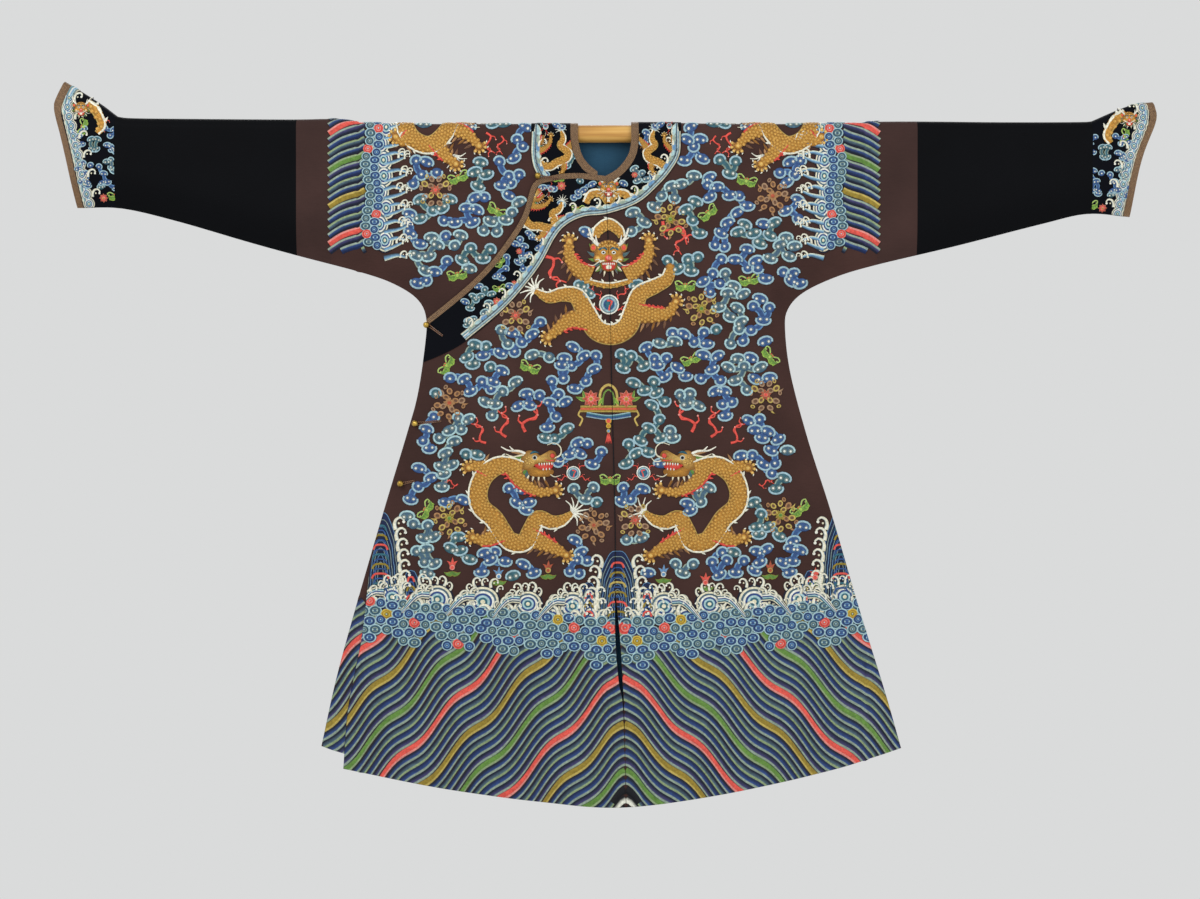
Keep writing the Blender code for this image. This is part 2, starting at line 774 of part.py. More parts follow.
def cloth_height(x, trim):
    """The top of the overlap at x, with any trim on it."""
    cloth = float(outer_lift(np.array([float(x)]))[0]) + WALL
    return cloth + SEAM + trim if trim else cloth


def make_button(name, x, z, trim):
    """A brass ball on a short shank, standing on the cloth."""
    height = cloth_height(x, trim)
    foot = on_front([(x, z)], height + SEAM)[0]
    tip = on_front([(x, z)], height + BALL_ABOVE)[0]
    profile = [(0.0, 0.0), (SHANK_RADIUS, 0.0), (SHANK_RADIUS, SHANK_HEIGHT)]
    centre = SHANK_HEIGHT + BALL_RADIUS - BALL_SUNK
    for k in range(1, BALL_RINGS):
        turn = math.radians(-75.0 + 165.0 * k / BALL_RINGS)
        profile.append((BALL_RADIUS * math.cos(turn), centre + BALL_RADIUS * math.sin(turn)))
    profile.append((0.0, centre + BALL_RADIUS))
    bm = bmesh.new()
    line = [bm.verts.new((r * MM, 0.0, h * MM)) for r, h in profile]
    edges = [bm.edges.new(pair) for pair in zip(line[:-1], line[1:])]
    bmesh.ops.spin(
        bm,
        geom=line + edges,
        axis=(0, 0, 1),
        cent=(0, 0, 0),
        steps=BALL_SIDES,
        angle=math.tau,
        use_merge=True,
    )
    bmesh.ops.remove_doubles(bm, verts=bm.verts, dist=1e-6)
    bmesh.ops.recalc_face_normals(bm, faces=bm.faces)
    data = bpy.data.meshes.new(name)
    bm.to_mesh(data)
    bm.free()
    data.shade_smooth()
    made = add(name, data, "brass")
    made.rotation_mode = "QUATERNION"
    made.rotation_quaternion = (Vector(tip) - Vector(foot)).to_track_quat("Z", "Y")
    made.location = foot


def make_cord(name, points):
    """A round cord that runs through the points and closes on itself."""
    data = bpy.data.curves.new(name, "CURVE")
    data.dimensions = "3D"
    data.bevel_depth = CORD_RADIUS * MM
    data.bevel_resolution = 1
    spline = data.splines.new("POLY")
    spline.points.add(len(points) - 1)
    for target, point in zip(spline.points, points):
        target.co = (*point, 1.0)
    spline.use_cyclic_u = True
    add(name, data, "brown_cord")


def make_loop(name, x, z, end_x, end_z, trim):
    """A doubled cord that goes round a button's shank and lies on the overlap."""
    along = np.array([end_x - x, end_z - z], float)
    length = np.linalg.norm(along)
    along /= length
    across = np.array([-along[1], along[0]])
    turn_radius = SHANK_RADIUS + CORD_RADIUS + STRAND_CLEAR
    rows = []
    for k in range(7):
        turn = math.radians(100.0 + 160.0 * k / 6)
        rows.append(turn_radius * (math.cos(turn) * along + math.sin(turn) * across))
    for share in (0.35, 0.65, 1.0):
        rows.append(along * length * share - across * STRAND_GAP / 2)
    for share in (1.0, 0.65, 0.35):
        rows.append(along * length * share + across * STRAND_GAP / 2)
    rows = [(x + p[0], z + p[1]) for p in rows]
    height = cloth_height(x, trim) + SEAM + CORD_RADIUS
    make_cord(name, on_front(rows, height))


def make_fastenings():
    """The ball buttons with their cord loops."""
    for name, (x, z, end_x, end_z, trim) in BUTTONS.items():
        make_button(f"button_{name}", x, z, trim)
        make_loop(f"loop_{name}", x, z, end_x, end_z, trim)


def main():
    for old in list(bpy.data.objects):
        bpy.data.objects.remove(old)
    front, back = make_sheets()
    make_rod()
    make_front(front)
    make_back(back)
    make_fastenings()


main()
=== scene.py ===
"""The looks of a Chinese dragon robe that hangs flat on a wooden rod.

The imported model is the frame. Every cloth piece is a thin shell on its solid's own surface, which
the functions below work out from the same named sizes, with finer creases. The embroidery is raised
work in silk and gold: each motif is drawn in the front view's millimetres and laid on the cloth.
"""

import math

import bpy
import numpy as np
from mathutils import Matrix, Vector
from mathutils.geometry import delaunay_2d_cdt


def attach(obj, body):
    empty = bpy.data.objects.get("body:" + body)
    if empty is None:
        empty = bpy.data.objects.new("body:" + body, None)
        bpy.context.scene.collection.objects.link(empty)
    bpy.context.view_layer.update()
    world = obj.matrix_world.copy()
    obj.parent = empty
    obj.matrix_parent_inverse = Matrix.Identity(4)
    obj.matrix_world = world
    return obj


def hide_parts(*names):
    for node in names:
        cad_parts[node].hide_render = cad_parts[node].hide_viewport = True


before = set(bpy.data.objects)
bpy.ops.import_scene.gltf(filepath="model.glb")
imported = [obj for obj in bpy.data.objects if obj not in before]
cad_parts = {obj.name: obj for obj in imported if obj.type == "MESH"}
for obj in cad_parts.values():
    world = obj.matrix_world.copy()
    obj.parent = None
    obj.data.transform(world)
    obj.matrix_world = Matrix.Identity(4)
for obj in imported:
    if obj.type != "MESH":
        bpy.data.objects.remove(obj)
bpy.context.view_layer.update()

MM = 0.001

# Rod and cloth, in millimetres
ROD_RADIUS = 17.5
WALL = 2.0
BAND_WALL = 1.2
BINDING_WALL = 2.6
SEAM = 0.3
NECK_BINDING = 15.0
FLAP_BINDING = 11.0
CUFF_BINDING = 14.0
FOLD_GAP = 0.1
# How many points are measured against a line at once
CHUNK = 20000

# Needlework: its base over the cloth, its room from a seam, and the step and height of a stroke
STITCH_BASE = 0.35
STITCH_MARGIN = 0.5
STROKE_STEP = 4.5
STROKE_HIGH = 0.6
# How much the shade of single stitches varies, and the smallest triangle that is kept
STITCH_VARIES = 0.08
SLIVER = 1e-4

# How the cloth hangs: half of the room between front and back, and how it closes at a seam
FOLD_RADIUS = ROD_RADIUS + 0.6
HANG_TOP = 18.0
HANG_HEM = 12.5
HANG_EASED_AT = 700.0
HANG_EASE = 80.0
SEAM_CLOSE = 75.0
# Slight ripples all over it: depth, length across and down, shift; and how a soft fold fades at its ends
RIPPLES = [(0.5, 47.0, 83.0, 0.0), (0.4, 31.0, -59.0, 1.3)]
FOLD_FADE = 0.25
# Where the outer layers come level with the underlap: from this x, over this width
LEVEL_FROM, LEVEL_WIDTH = 110.0, 150.0

# Where the sleeve pieces meet, as x on the viewer's left and right
CUFF_AT = (-977.0, 973.0)
EXTENSION_AT = (-615.0, 624.0)
PATCH_AT = (-547.0, 545.0)
SLEEVE_DEPTH = 380.0

# Shoulder line: x, height of the cloth's top, radius of its fold
SHOULDER = [
    (-1130.0, 136.0, 8.0),
    (-1079.0, 104.0, 8.0),
    (-1045.0, 84.0, 10.0),
    (-1003.0, 57.0, 14.0),
    (-977.0, 38.0, 16.0),
    (-955.0, 32.0, 18.5),
    (-800.0, 30.0, 18.5),
    (-620.0, 29.0, 18.5),
    (-545.0, 30.0, 18.5),
    (-490.0, 24.0, 18.0),
    (-450.0, 20.4, FOLD_RADIUS),
    (0.0, 20.3, FOLD_RADIUS),
    (480.0, 20.4, FOLD_RADIUS),
    (520.0, 24.0, 18.0),
    (620.0, 25.0, 18.5),
    (800.0, 23.5, 18.5),
    (955.0, 24.0, 18.5),
    (977.0, 27.0, 16.0),
    (1019.0, 45.0, 13.0),
    (1057.0, 58.5, 10.0),
    (1095.0, 63.0, 8.0),
    (1130.0, 68.0, 8.0),
]

# Cuff mouths: x, z
LEFT_MOUTH = [(-1079, 104), (-1094, 72), (-1098, 48), (-1085, -4), (-1070, -70), (-1054, -148)]
RIGHT_MOUTH = [(1095, 63), (1102, 42), (1099, 18), (1076, -38), (1061, -96), (1050, -166)]

# Underside of the sleeve and side of the body, from cuff to hem: x, z
LEFT_SEAM = [
    (-1054, -148), (-966, -149), (-857, -174), (-713, -216), (-615, -243), (-479, -279), (-415, -303),
    (-372, -333), (-356, -372), (-360, -434), (-374, -524), (-395, -600), (-439, -746), (-499, -952),
    (-537, -1092), (-566, -1224),
]
RIGHT_SEAM = [
    (1050, -166), (965, -160), (871, -181), (703, -224), (543, -262), (463, -286), (398, -317),
    (367, -350), (361, -390), (372, -480), (407, -612), (453, -756), (509, -948), (561, -1116),
    (593, -1228),
]

# Hems: x, z
FRONT_HEM = [
    (593, -1228), (535, -1246), (439, -1275), (247, -1317), (43, -1345), (-129, -1334), (-329, -1306),
    (-521, -1268),
]
UNDERLAP_HEM = [(-566, -1224), (-520, -1238), (-329, -1287), (-62, -1322)]
BACK_HEM = [
    (593, -1228), (420, -1272), (220, -1312), (30, -1334), (-200, -1312), (-400, -1270), (-566, -1224)
]

# Neckline, centre seam and the slit below it: x, z
NECK_RIGHT = [(2, -86), (24, -73), (41, -54), (50, -36), (53, -14), (53, 2)]
NECK_LEFT = [(2, -86), (-22, -71), (-38, -55), (-47, -38), (-52, -16), (-53, 2)]
BACK_NECK = [(-53, 2), (-44, -6), (-22, -10), (0, -11), (22, -10), (44, -6), (53, 2)]
CENTRE_SEAM = [(2, -86), (10, -300), (15, -532), (21, -772), (21, -912)]
SLIT_FLAP = [(21, -912), (22, -1010), (29, -1095), (38, -1154), (43, -1345)]
SLIT_MAIN = [(21, -912), (31, -1010), (36, -1095), (39, -1154), (43, -1345)]
BACK_SEAM = [(0, -11), (8, -400), (20, -900), (30, -1334)]
UNDERLAP_FRONT = [(-14, -76), (-22, -300), (-40, -700), (-62, -1322)]

# The overlap's bound top edge, from the neck to the underarm, and its free lower edge: x, z
FLAP_EDGE = [
    (2, -86), (-30, -82), (-60, -80), (-104, -85), (-142, -101), (-165, -168), (-210, -236), (-256, -288),
    (-308, -334), (-356, -372),
]
FLAP_SIDE = [(-465, -834), (-474, -930), (-484, -1010), (-495, -1066), (-511, -1150), (-521, -1268)]

# Outer edge of the dark collar band: x, z
BAND_RIGHT = [
    (153, 2), (151, -42), (135, -73), (109, -104), (67, -140), (7, -162), (-41, -168), (-75, -184),
    (-98, -210), (-133, -272), (-195, -346), (-275, -414), (-333, -446), (-400, -470),
]
BAND_LEFT = [(-146, 2), (-147, -40), (-143, -66), (-134, -86), (-122, -110)]
BAND_BACK = [
    (-146, 2), (-141, -40), (-118, -78), (-70, -104), (0, -113), (70, -104), (122, -78), (147, -40),
    (153, 2),
]

# Soft folds: x and z at the top, x and z at the bottom, half width, depth outwards
FRONT_FOLDS = [
    (215, -60, 250, -560, 60, -4.5), (290, -80, 345, -700, 58, 5.5), (120, -360, 60, -720, 62, -3.5),
    (175, -760, 235, -1400, 85, 5.0), (375, -820, 455, -1400, 70, -4.5),
    (-225, -560, -315, -1400, 88, 5.0), (-75, -620, -105, -1400, 75, -4.0),
    (-265, -40, -250, -300, 55, 3.5), (-395, -40, -380, -260, 48, -3.0),
]
BACK_FOLDS = [
    (-180, -60, -235, -820, 70, 5.0), (-330, -500, -420, -1400, 75, -4.5),
    (-60, -420, -95, -1400, 80, 4.5), (130, -60, 165, -760, 66, -4.0), (255, -120, 330, -900, 68, 5.0),
    (150, -860, 210, -1400, 82, -4.0), (420, -760, 500, -1400, 66, 4.0),
]

# Finer creases, in the same columns
FRONT_CREASES = [
    (262, -30, 300, -420, 26, -3.0), (330, -60, 352, -360, 24, 2.6), (200, -380, 95, -650, 26, -3.4),
    (160, -340, 60, -590, 22, 2.4), (375, -120, 430, -205, 20, -2.2), (-300, -430, -330, -720, 26, 2.2),
    (-180, -700, -235, -1120, 30, -2.0), (285, -700, 330, -1010, 30, 2.0),
    (95, -900, 130, -1300, 34, -2.0), (-430, -900, -470, -1280, 26, 1.8),
    (480, -960, 520, -1260, 26, -2.0),
]
BACK_CREASES = [
    (-262, -40, -300, -430, 26, -3.0), (-120, -330, -80, -700, 26, 2.6), (205, -60, 240, -430, 24, 2.4),
    (330, -400, 372, -760, 26, -2.6), (60, -700, 85, -1120, 32, -2.2), (-340, -820, -400, -1240, 30, 2.0),
    (400, -900, 450, -1260, 28, -2.2),
]


def smooth(t):
    """0 to 1 with soft ends."""
    t = np.clip(t, 0.0, 1.0)
    return t * t * (3.0 - 2.0 * t)


def curve(rows, step):
    """Points about step apart on a smooth curve through the rows, ends included."""
    p = np.array(rows, float)
    ends = np.vstack([2 * p[0] - p[1], p, 2 * p[-1] - p[-2]])
    made = [p[0]]
    for i in range(len(p) - 1):
        a, b, c, d = ends[i : i + 4]
        count = max(1, round(np.linalg.norm(c - b) / step))
        for k in range(1, count + 1):
            t = k / count
            bend = (2 * a - 5 * b + 4 * c - d) * t**2 + (3 * b - a - 3 * c + d) * t**3
            made.append(0.5 * (2 * b + (c - a) * t + bend))
    return np.array(made)


def closed_curve(points, step):
    """A smooth closed outline through the points, without its first point again at the end."""
    return curve([*points, points[0]], step)[:-1]


def lengths_of(line):
    """The length of a polyline up to each of its points."""
    return np.concatenate([[0.0], np.cumsum(np.linalg.norm(np.diff(line, axis=0), axis=1))])


def around(x, z, reach, way):
    """The place that far from another, in a direction in radians."""
    return (x + reach * math.cos(way), z + reach * math.sin(way))


def beside(points, distance):
    """The same line moved sideways, to the right of its direction for a positive distance."""
    along = np.gradient(points, axis=0)
    along /= np.linalg.norm(along, axis=1, keepdims=True)
    return points + distance * np.column_stack([along[:, 1], -along[:, 0]])


def strip(points, width, level=False):
    """The inner edge of a strip beside a line, and the strip. It lies to the right of the line's
    direction for a positive width, or level strips simply lie that far along x."""
    ends = []
    for tip, before in ((points[0], points[1]), (points[-1], points[-2])):
        ends.append(tip + (tip - before) / np.linalg.norm(tip - before) * abs(width))
    longer = np.vstack([ends[0], points, ends[1]])
    inner = longer + np.array([width, 0.0]) if level else beside(longer, width)
    return inner, np.vstack([longer, inner[::-1]])


def inside(points, polygon):
    """Which points lie in a closed polygon."""
    x, y = points[:, 0, None], points[:, 1, None]
    a, b = polygon, np.roll(polygon, -1, axis=0)
    rise = b[:, 1] - a[:, 1]
    rise = np.where(rise == 0, 1e-12, rise)
    spans = (a[:, 1] > y) != (b[:, 1] > y)
    crossing = a[:, 0] + (y - a[:, 1]) * (b[:, 0] - a[:, 0]) / rise
    return (spans & (x < crossing)).sum(axis=1) % 2 == 1


def distance(points, line):
    """Distance of each point from a polyline."""
    a, ab = line[:-1], np.diff(line, axis=0)
    found = []
    for start in range(0, len(points), CHUNK):
        ap = points[start : start + CHUNK, None, :] - a[None]
        t = np.clip((ap * ab).sum(2) / np.maximum((ab**2).sum(1), 1e-9), 0.0, 1.0)
        found.append(np.linalg.norm(ap - t[..., None] * ab, axis=2).min(axis=1))
    return np.concatenate(found) if found else np.zeros(0)


SHOULDER_LINE = curve(SHOULDER, 12.0)
SIDE_SEAMS = [curve(LEFT_SEAM, 16.0), curve(RIGHT_SEAM, 16.0)]


def fold_at(x):
    """Radius of the shoulder fold at x, and the height of its centre."""
    top = np.interp(x, SHOULDER_LINE[:, 0], SHOULDER_LINE[:, 1]) - WALL
    radius = np.interp(x, SHOULDER_LINE[:, 0], SHOULDER_LINE[:, 2])
    return radius, top - radius


def flat(points):
    """Points of the front view, x and z, as x and v on the flat sheet."""
    points = np.asarray(points, float)
    radius, centre = fold_at(points[:, 0])
    rise = np.clip((points[:, 1] - centre) / radius, 0.0, 1.0)
    v = np.where(
        points[:, 1] > centre,
        radius * np.arccos(rise),
        radius * math.pi / 2 + centre - points[:, 1],
    )
    return np.column_stack([points[:, 0], v])


def folds(x, z, side):
    """How far the soft folds and the finer creases push the cloth outwards."""
    push = sum(depth * np.sin(x / wide + z / high + shift * side) for depth, wide, high, shift in RIPPLES)
    rows = FRONT_FOLDS + FRONT_CREASES if side < 0 else BACK_FOLDS + BACK_CREASES
    for x0, z0, x1, z1, half, depth in rows:
        t = (z - z0) / (z1 - z0)
        across = (x - (x0 + (x1 - x0) * t)) / half
        along = smooth(t / FOLD_FADE) * smooth((1.0 - t) / FOLD_FADE)
        push += depth * along * np.cos(np.clip(across, -1, 1) * math.pi / 2) ** 2
    return push


def rest(x, v, side):
    """The cloth's inner face in space, for points x and v of a sheet."""
    radius, centre = fold_at(x)
    quarter = radius * math.pi / 2
    turn = np.minimum(v, quarter) / radius
    below = np.maximum(v - quarter, 0.0)
    z = centre + radius * np.cos(turn) - below
    hang = HANG_TOP + (HANG_HEM - HANG_TOP) * smooth(-z / HANG_EASED_AT)
    y = radius * np.sin(turn) + (hang - radius) * smooth(below / HANG_EASE)
    view = np.column_stack([x, z])
    near = np.minimum(distance(view, SIDE_SEAMS[0]), distance(view, SIDE_SEAMS[1]))
    close = np.sin(np.minimum(near / SEAM_CLOSE, 1.0) * math.pi / 2)
    y = (y + folds(x, z, side) * smooth(below / HANG_EASE)) * close + FOLD_GAP / 2
    return np.column_stack([x, side * y, z])


def linear(colour):
    """A colour of 0 to 255 as the screen shows it, as light."""
    c = np.asarray(colour, float) / 255.0
    return np.where(c <= 0.04045, c / 12.92, ((c + 0.055) / 1.055) ** 2.4)


# Colours as they show on a screen
PALETTE = {
    "ground": (66, 45, 41),
    "band": (62, 44, 41),
    "black": (9, 10, 13),
    "navy": (8, 10, 17),
    "lining": (42, 78, 102),
    "braid": (128, 98, 66),
    "indigo": (20, 36, 76),
    "cloud_edge": (160, 192, 202),
    "cloud_blue": (56, 86, 136),
    "cloud_teal": (58, 100, 112),
    "cloud_grey": (72, 102, 122),
    "blue": (50, 84, 142),
    "sky": (104, 150, 192),
    "pale": (172, 205, 208),
    "teal": (50, 104, 120),
    "deep_teal": (28, 72, 92),
    "white": (236, 236, 222),
    "cream": (232, 226, 196),
    "gold": (188, 134, 54),
    "dark_gold": (140, 94, 38),
    "scale_gold": (206, 158, 76),
    "pale_gold": (226, 186, 104),
    "coral": (226, 88, 76),
    "red": (190, 48, 42),
    "pink": (232, 148, 138),
    "green": (126, 168, 62),
    "dark_green": (70, 104, 44),
    "beige": (166, 134, 104),
    "yellow": (214, 186, 62),
    "ink": (10, 12, 20),
    "ink_blue": (16, 26, 48),
    "mist": (150, 168, 152),
    "steel": (78, 102, 118),
    "slate": (74, 104, 108),
    "dusk": (66, 64, 112),
    "olive_gold": (148, 128, 44),
    "lime": (172, 200, 92),
    "moss": (98, 138, 62),
    "sage": (146, 166, 124),
    "old_gold": (150, 128, 46),
    "straw": (196, 174, 92),
    "cobalt": (44, 72, 130),
    "tan": (172, 128, 84),
    "rust": (176, 84, 58),
    "brown": (110, 78, 58),
}

# The shade that changes nothing
CLEAR = (255, 255, 255)
# Lines a metre that a wave node draws at scale 1
WAVE_CYCLES = math.tau / 20 * 10


def node_material(name, roughness, metallic=0.0, sheen=0.0, specular=0.5):
    """A Principled material of that name with its tree, shader and object coordinates."""
    made = bpy.data.materials.new(name)
    made.use_nodes = True
    tree = made.node_tree
    shader = tree.nodes["Principled BSDF"]
    shader.inputs["Roughness"].default_value = roughness
    shader.inputs["Metallic"].default_value = metallic
    shader.inputs["Sheen Weight"].default_value = sheen
    shader.inputs["Sheen Roughness"].default_value = 0.4
    shader.inputs["Specular IOR Level"].default_value = specular
    where = tree.nodes.new("ShaderNodeTexCoord").outputs["Object"]
    return made, tree, shader, where


def noise(tree, where, scale, detail=2.0, stretch=None):
    """Noise at that many cycles a metre, stretched along the axes if asked."""
    if stretch:
        mapping = tree.nodes.new("ShaderNodeMapping")
        mapping.inputs["Scale"].default_value = stretch
        tree.links.new(where, mapping.inputs["Vector"])
        where = mapping.outputs["Vector"]
    node = tree.nodes.new("ShaderNodeTexNoise")
    node.inputs["Scale"].default_value = scale
    node.inputs["Detail"].default_value = detail
    tree.links.new(where, node.inputs["Vector"])
    return node.outputs["Fac"]


def waves(tree, where, scale, direction, distortion=0.0):
    """Fine parallel lines at that many a metre."""
    node = tree.nodes.new("ShaderNodeTexWave")
    node.bands_direction = direction
    node.inputs["Scale"].default_value = scale / WAVE_CYCLES
    node.inputs["Distortion"].default_value = distortion
    node.inputs["Detail"].default_value = 1.0
    tree.links.new(where, node.inputs["Vector"])
    return node.outputs["Fac"]


def mix(tree, kind, a, b, share):
    """Two colours, or a colour and a factor's colour, mixed."""
    node = tree.nodes.new("ShaderNodeMix")
    node.data_type = "RGBA"
    node.blend_type = kind
    for value, socket in ((share, node.inputs[0]), (a, node.inputs[6]), (b, node.inputs[7])):
        if isinstance(value, bpy.types.NodeSocket):
            tree.links.new(value, socket)
        else:
            socket.default_value = value
    return node.outputs[2]


def ramp(tree, value, rows):
    """Colours along a value."""
    node = tree.nodes.new("ShaderNodeValToRGB")
    while len(node.color_ramp.elements) < len(rows):
        node.color_ramp.elements.new(0.5)
    for element, (at, colour) in zip(node.color_ramp.elements, rows):
        element.position = at
        element.color = (*linear(colour), 1.0)
    tree.links.new(value, node.inputs[0])
    return node.outputs[0]


def bump(tree, shader, height, strength, reach):
    """The height as small relief, reach in metres."""
    node = tree.nodes.new("ShaderNodeBump")
    node.inputs["Strength"].default_value = strength
    node.inputs["Distance"].default_value = reach
    tree.links.new(height, node.inputs["Height"])
    if shader.inputs["Normal"].links:
        tree.links.new(shader.inputs["Normal"].links[0].from_socket, node.inputs["Normal"])
    tree.links.new(node.outputs["Normal"], shader.inputs["Normal"])


def shade_of(colour, share):
    """A darker or lighter colour."""
    return tuple(min(255.0, c * share) for c in colour)


def flecked(tree, tone, value, start, shade, end, share):
    """A colour that is multiplied by a shade where a value is low, and clear where it is high."""
    return mix(tree, "MULTIPLY", tone, ramp(tree, value, [(start, shade), (end, CLEAR)]), share)


def silk(name, colour, roughness=0.68, sheen=0.03, lines=900.0, wear=0.09, specular=0.08):
    """Woven silk: a fine twill with slow changes of shade."""
    made, tree, shader, where = node_material(name, roughness, sheen=sheen, specular=specular)
    slow = noise(tree, where, 7.0, 4.0)
    tone = ramp(tree, slow, [(0.3, shade_of(colour, 1.0 - wear)), (0.7, shade_of(colour, 1.0 + wear))])
    slub = noise(tree, where, 60.0, 3.0, (1.0, 1.0, 14.0))
    tone = flecked(tree, tone, slub, 0.3, (232, 232, 232), 0.62, 0.5)
    tree.links.new(tone, shader.inputs["Base Color"])
    bump(tree, shader, waves(tree, where, lines, "DIAGONAL"), 0.25, 0.0003)
    bump(tree, shader, noise(tree, where, 160.0, 3.0, (1.0, 1.0, 3.0)), 0.35, 0.0006)
    return made


def braid(name, colour):
    """A woven gilt braid with a small zigzag."""
    made, tree, shader, where = node_material(name, 0.5, metallic=0.15, sheen=0.1)
    zigzag = waves(tree, where, 560.0, "DIAGONAL", 3.0)
    fleck = noise(tree, where, 420.0, 2.0)
    tone = ramp(
        tree, zigzag, [(0.25, shade_of(colour, 0.74)), (0.6, colour), (0.85, shade_of(colour, 1.2))]
    )
    tone = flecked(tree, tone, fleck, 0.3, (150, 130, 110), 0.65, 0.8)
    tree.links.new(tone, shader.inputs["Base Color"])
    bump(tree, shader, zigzag, 0.5, 0.0006)
    return made


def embroidery(name, roughness, metallic, lines):
    """Silk or gold thread in the colours that the stitches carry."""
    made, tree, shader, where = node_material(name, roughness, metallic=metallic, sheen=0.04, specular=0.22)
    threads = tree.nodes.new("ShaderNodeVertexColor")
    threads.layer_name = "Col"
    fine = noise(tree, where, 260.0, 2.0)
    tone = flecked(tree, threads.outputs["Color"], fine, 0.3, (205, 205, 205), 0.62, 0.8)
    tree.links.new(tone, shader.inputs["Base Color"])
    bump(tree, shader, waves(tree, where, lines, "DIAGONAL", 2.0), 0.45, 0.0004)
    return made


def wood():
    """Pale turned wood with its grain along the rod."""
    made, tree, shader, where = node_material("pale_wood_grain", 0.45)
    grain = noise(tree, where, 90.0, 6.0, (0.05, 1.0, 1.0))
    rings = noise(tree, where, 26.0, 3.0, (0.10, 1.0, 1.0))
    tone = ramp(tree, grain, [(0.32, (176, 124, 56)), (0.5, (204, 154, 76)), (0.7, (222, 180, 102))])
    tone = flecked(tree, tone, rings, 0.4, (214, 196, 170), 0.6, 0.7)
    tree.links.new(tone, shader.inputs["Base Color"])
    bump(tree, shader, grain, 0.3, 0.0005)
    return made


def brass():
    """Worn brass, darker where it is less handled."""
    made, tree, shader, where = node_material("worn_brass", 0.3, metallic=1.0)
    patina = noise(tree, where, 140.0, 4.0)
    tree.links.new(
        ramp(tree, patina, [(0.3, (140, 108, 44)), (0.6, (206, 172, 84))]), shader.inputs["Base Color"]
    )
    bump(tree, shader, patina, 0.2, 0.0004)
    return made


def cord_silk():
    """Twisted brown silk cord."""
    made, tree, shader, where = node_material("twisted_cord", 0.7, sheen=0.3)
    twist = waves(tree, where, 520.0, "DIAGONAL")
    tree.links.new(
        ramp(tree, twist, [(0.2, (70, 46, 34)), (0.8, (142, 100, 70))]), shader.inputs["Base Color"]
    )
    bump(tree, shader, twist, 0.6, 0.0006)
    return made


CLOTH = {
    "brown_silk": silk("brown_ground", PALETTE["ground"]),
    "brown_band": silk("brown_band_silk", PALETTE["band"], wear=0.1),
    "black_silk": silk(
        "black_satin", PALETTE["black"], roughness=0.6, sheen=0.0, lines=700.0, specular=0.05
    ),
    "navy_silk": silk("navy_satin", PALETTE["navy"], roughness=0.6, sheen=0.0, specular=0.05),
    "lining": silk("blue_lining", PALETTE["lining"], roughness=0.55),
    "gold_braid": braid("gilt_braid", PALETTE["braid"]),
}
SILK_THREAD = embroidery("silk_thread", 0.5, 0.0, 700.0)
GOLD_THREAD = embroidery("gold_thread", 0.42, 0.25, 420.0)


class Surface:
    """One side of the robe on a fine grid of x and v, from which any point of it is read."""

    STEP = 5.0
    X0, X1, V1 = -1130.0, 1130.0, 1480.0

    def __init__(self, side):
        self.xs = np.arange(self.X0, self.X1 + 1.0, self.STEP)
        self.vs = np.arange(0.0, self.V1 + 1.0, self.STEP)
        x, v = (a.ravel() for a in np.meshgrid(self.xs, self.vs, indexing="ij"))
        self.inner = rest(x, v, side).reshape(len(self.xs), len(self.vs), 3)
        across, down = np.gradient(self.inner, axis=0), np.gradient(self.inner, axis=1)
        out = np.cross(down, across) * -side
        self.out = out / np.linalg.norm(out, axis=2, keepdims=True)

    def at(self, points, lift):
        """Points of the sheet in space, lifted off its inner face."""
        i = np.clip((points[:, 0] - self.X0) / self.STEP, 0, len(self.xs) - 1.001)
        j = np.clip(points[:, 1] / self.STEP, 0, len(self.vs) - 1.001)
        i0, j0 = i.astype(int), j.astype(int)
        s, t = (i - i0)[:, None], (j - j0)[:, None]
        mixed = []
        for grid in (self.inner, self.out):
            low = grid[i0, j0] * (1 - s) + grid[i0 + 1, j0] * s
            high = grid[i0, j0 + 1] * (1 - s) + grid[i0 + 1, j0 + 1] * s
            mixed.append(low * (1 - t) + high * t)
        return mixed[0] + mixed[1] * np.asarray(lift, float).reshape(-1, 1)


SURFACES = {side: Surface(side) for side in (-1, 1)}


def laid(points, side, lift):
    """Points of a sheet in space. Past the shoulder fold, where v is negative, they lie on the
    other side."""
    lift = np.broadcast_to(np.asarray(lift, float), (len(points),))
    over = points[:, 1] < 0
    mirrored = np.column_stack([points[:, 0], np.abs(points[:, 1])])
    near = SURFACES[side].at(mirrored, lift)
    far = SURFACES[-side].at(mirrored, lift)
    return np.where(over[:, None], far, near)


# Mesh spacing of the shells
SPACING = 13.0
FOLD_ROWS = 8
LINE_STEP = 9.0
KEEP_OFF = 5.0
WELD = 0.4
SHELL_SEAM = 0.1
SHARP_ANGLE = math.radians(50)


def fold_rows():
    """The values of v where the shoulder fold is divided."""
    return [FOLD_RADIUS * math.pi / 2 * k / FOLD_ROWS for k in range(1, FOLD_ROWS + 1)]


def with_rows(points):
    """A line of the sheet, with a point wherever it crosses a row of the shoulder fold."""
    made = [points[0]]
    for a, b in zip(points[:-1], points[1:]):
        shares = [(row - a[1]) / (b[1] - a[1]) for row in fold_rows() if abs(b[1] - a[1]) > 1e-6]
        made += [a + t * (b - a) for t in sorted(shares) if 0.1 < t < 0.9]
        made.append(b)
    return np.array(made)


def cross_line(x):
    """A seam straight down the sheet at x."""
    rows = [-20.0, 0.0, *fold_rows()]
    rows += list(np.arange(rows[-1] + SPACING, SLEEVE_DEPTH, SPACING))
    return np.array([(x, v) for v in rows])


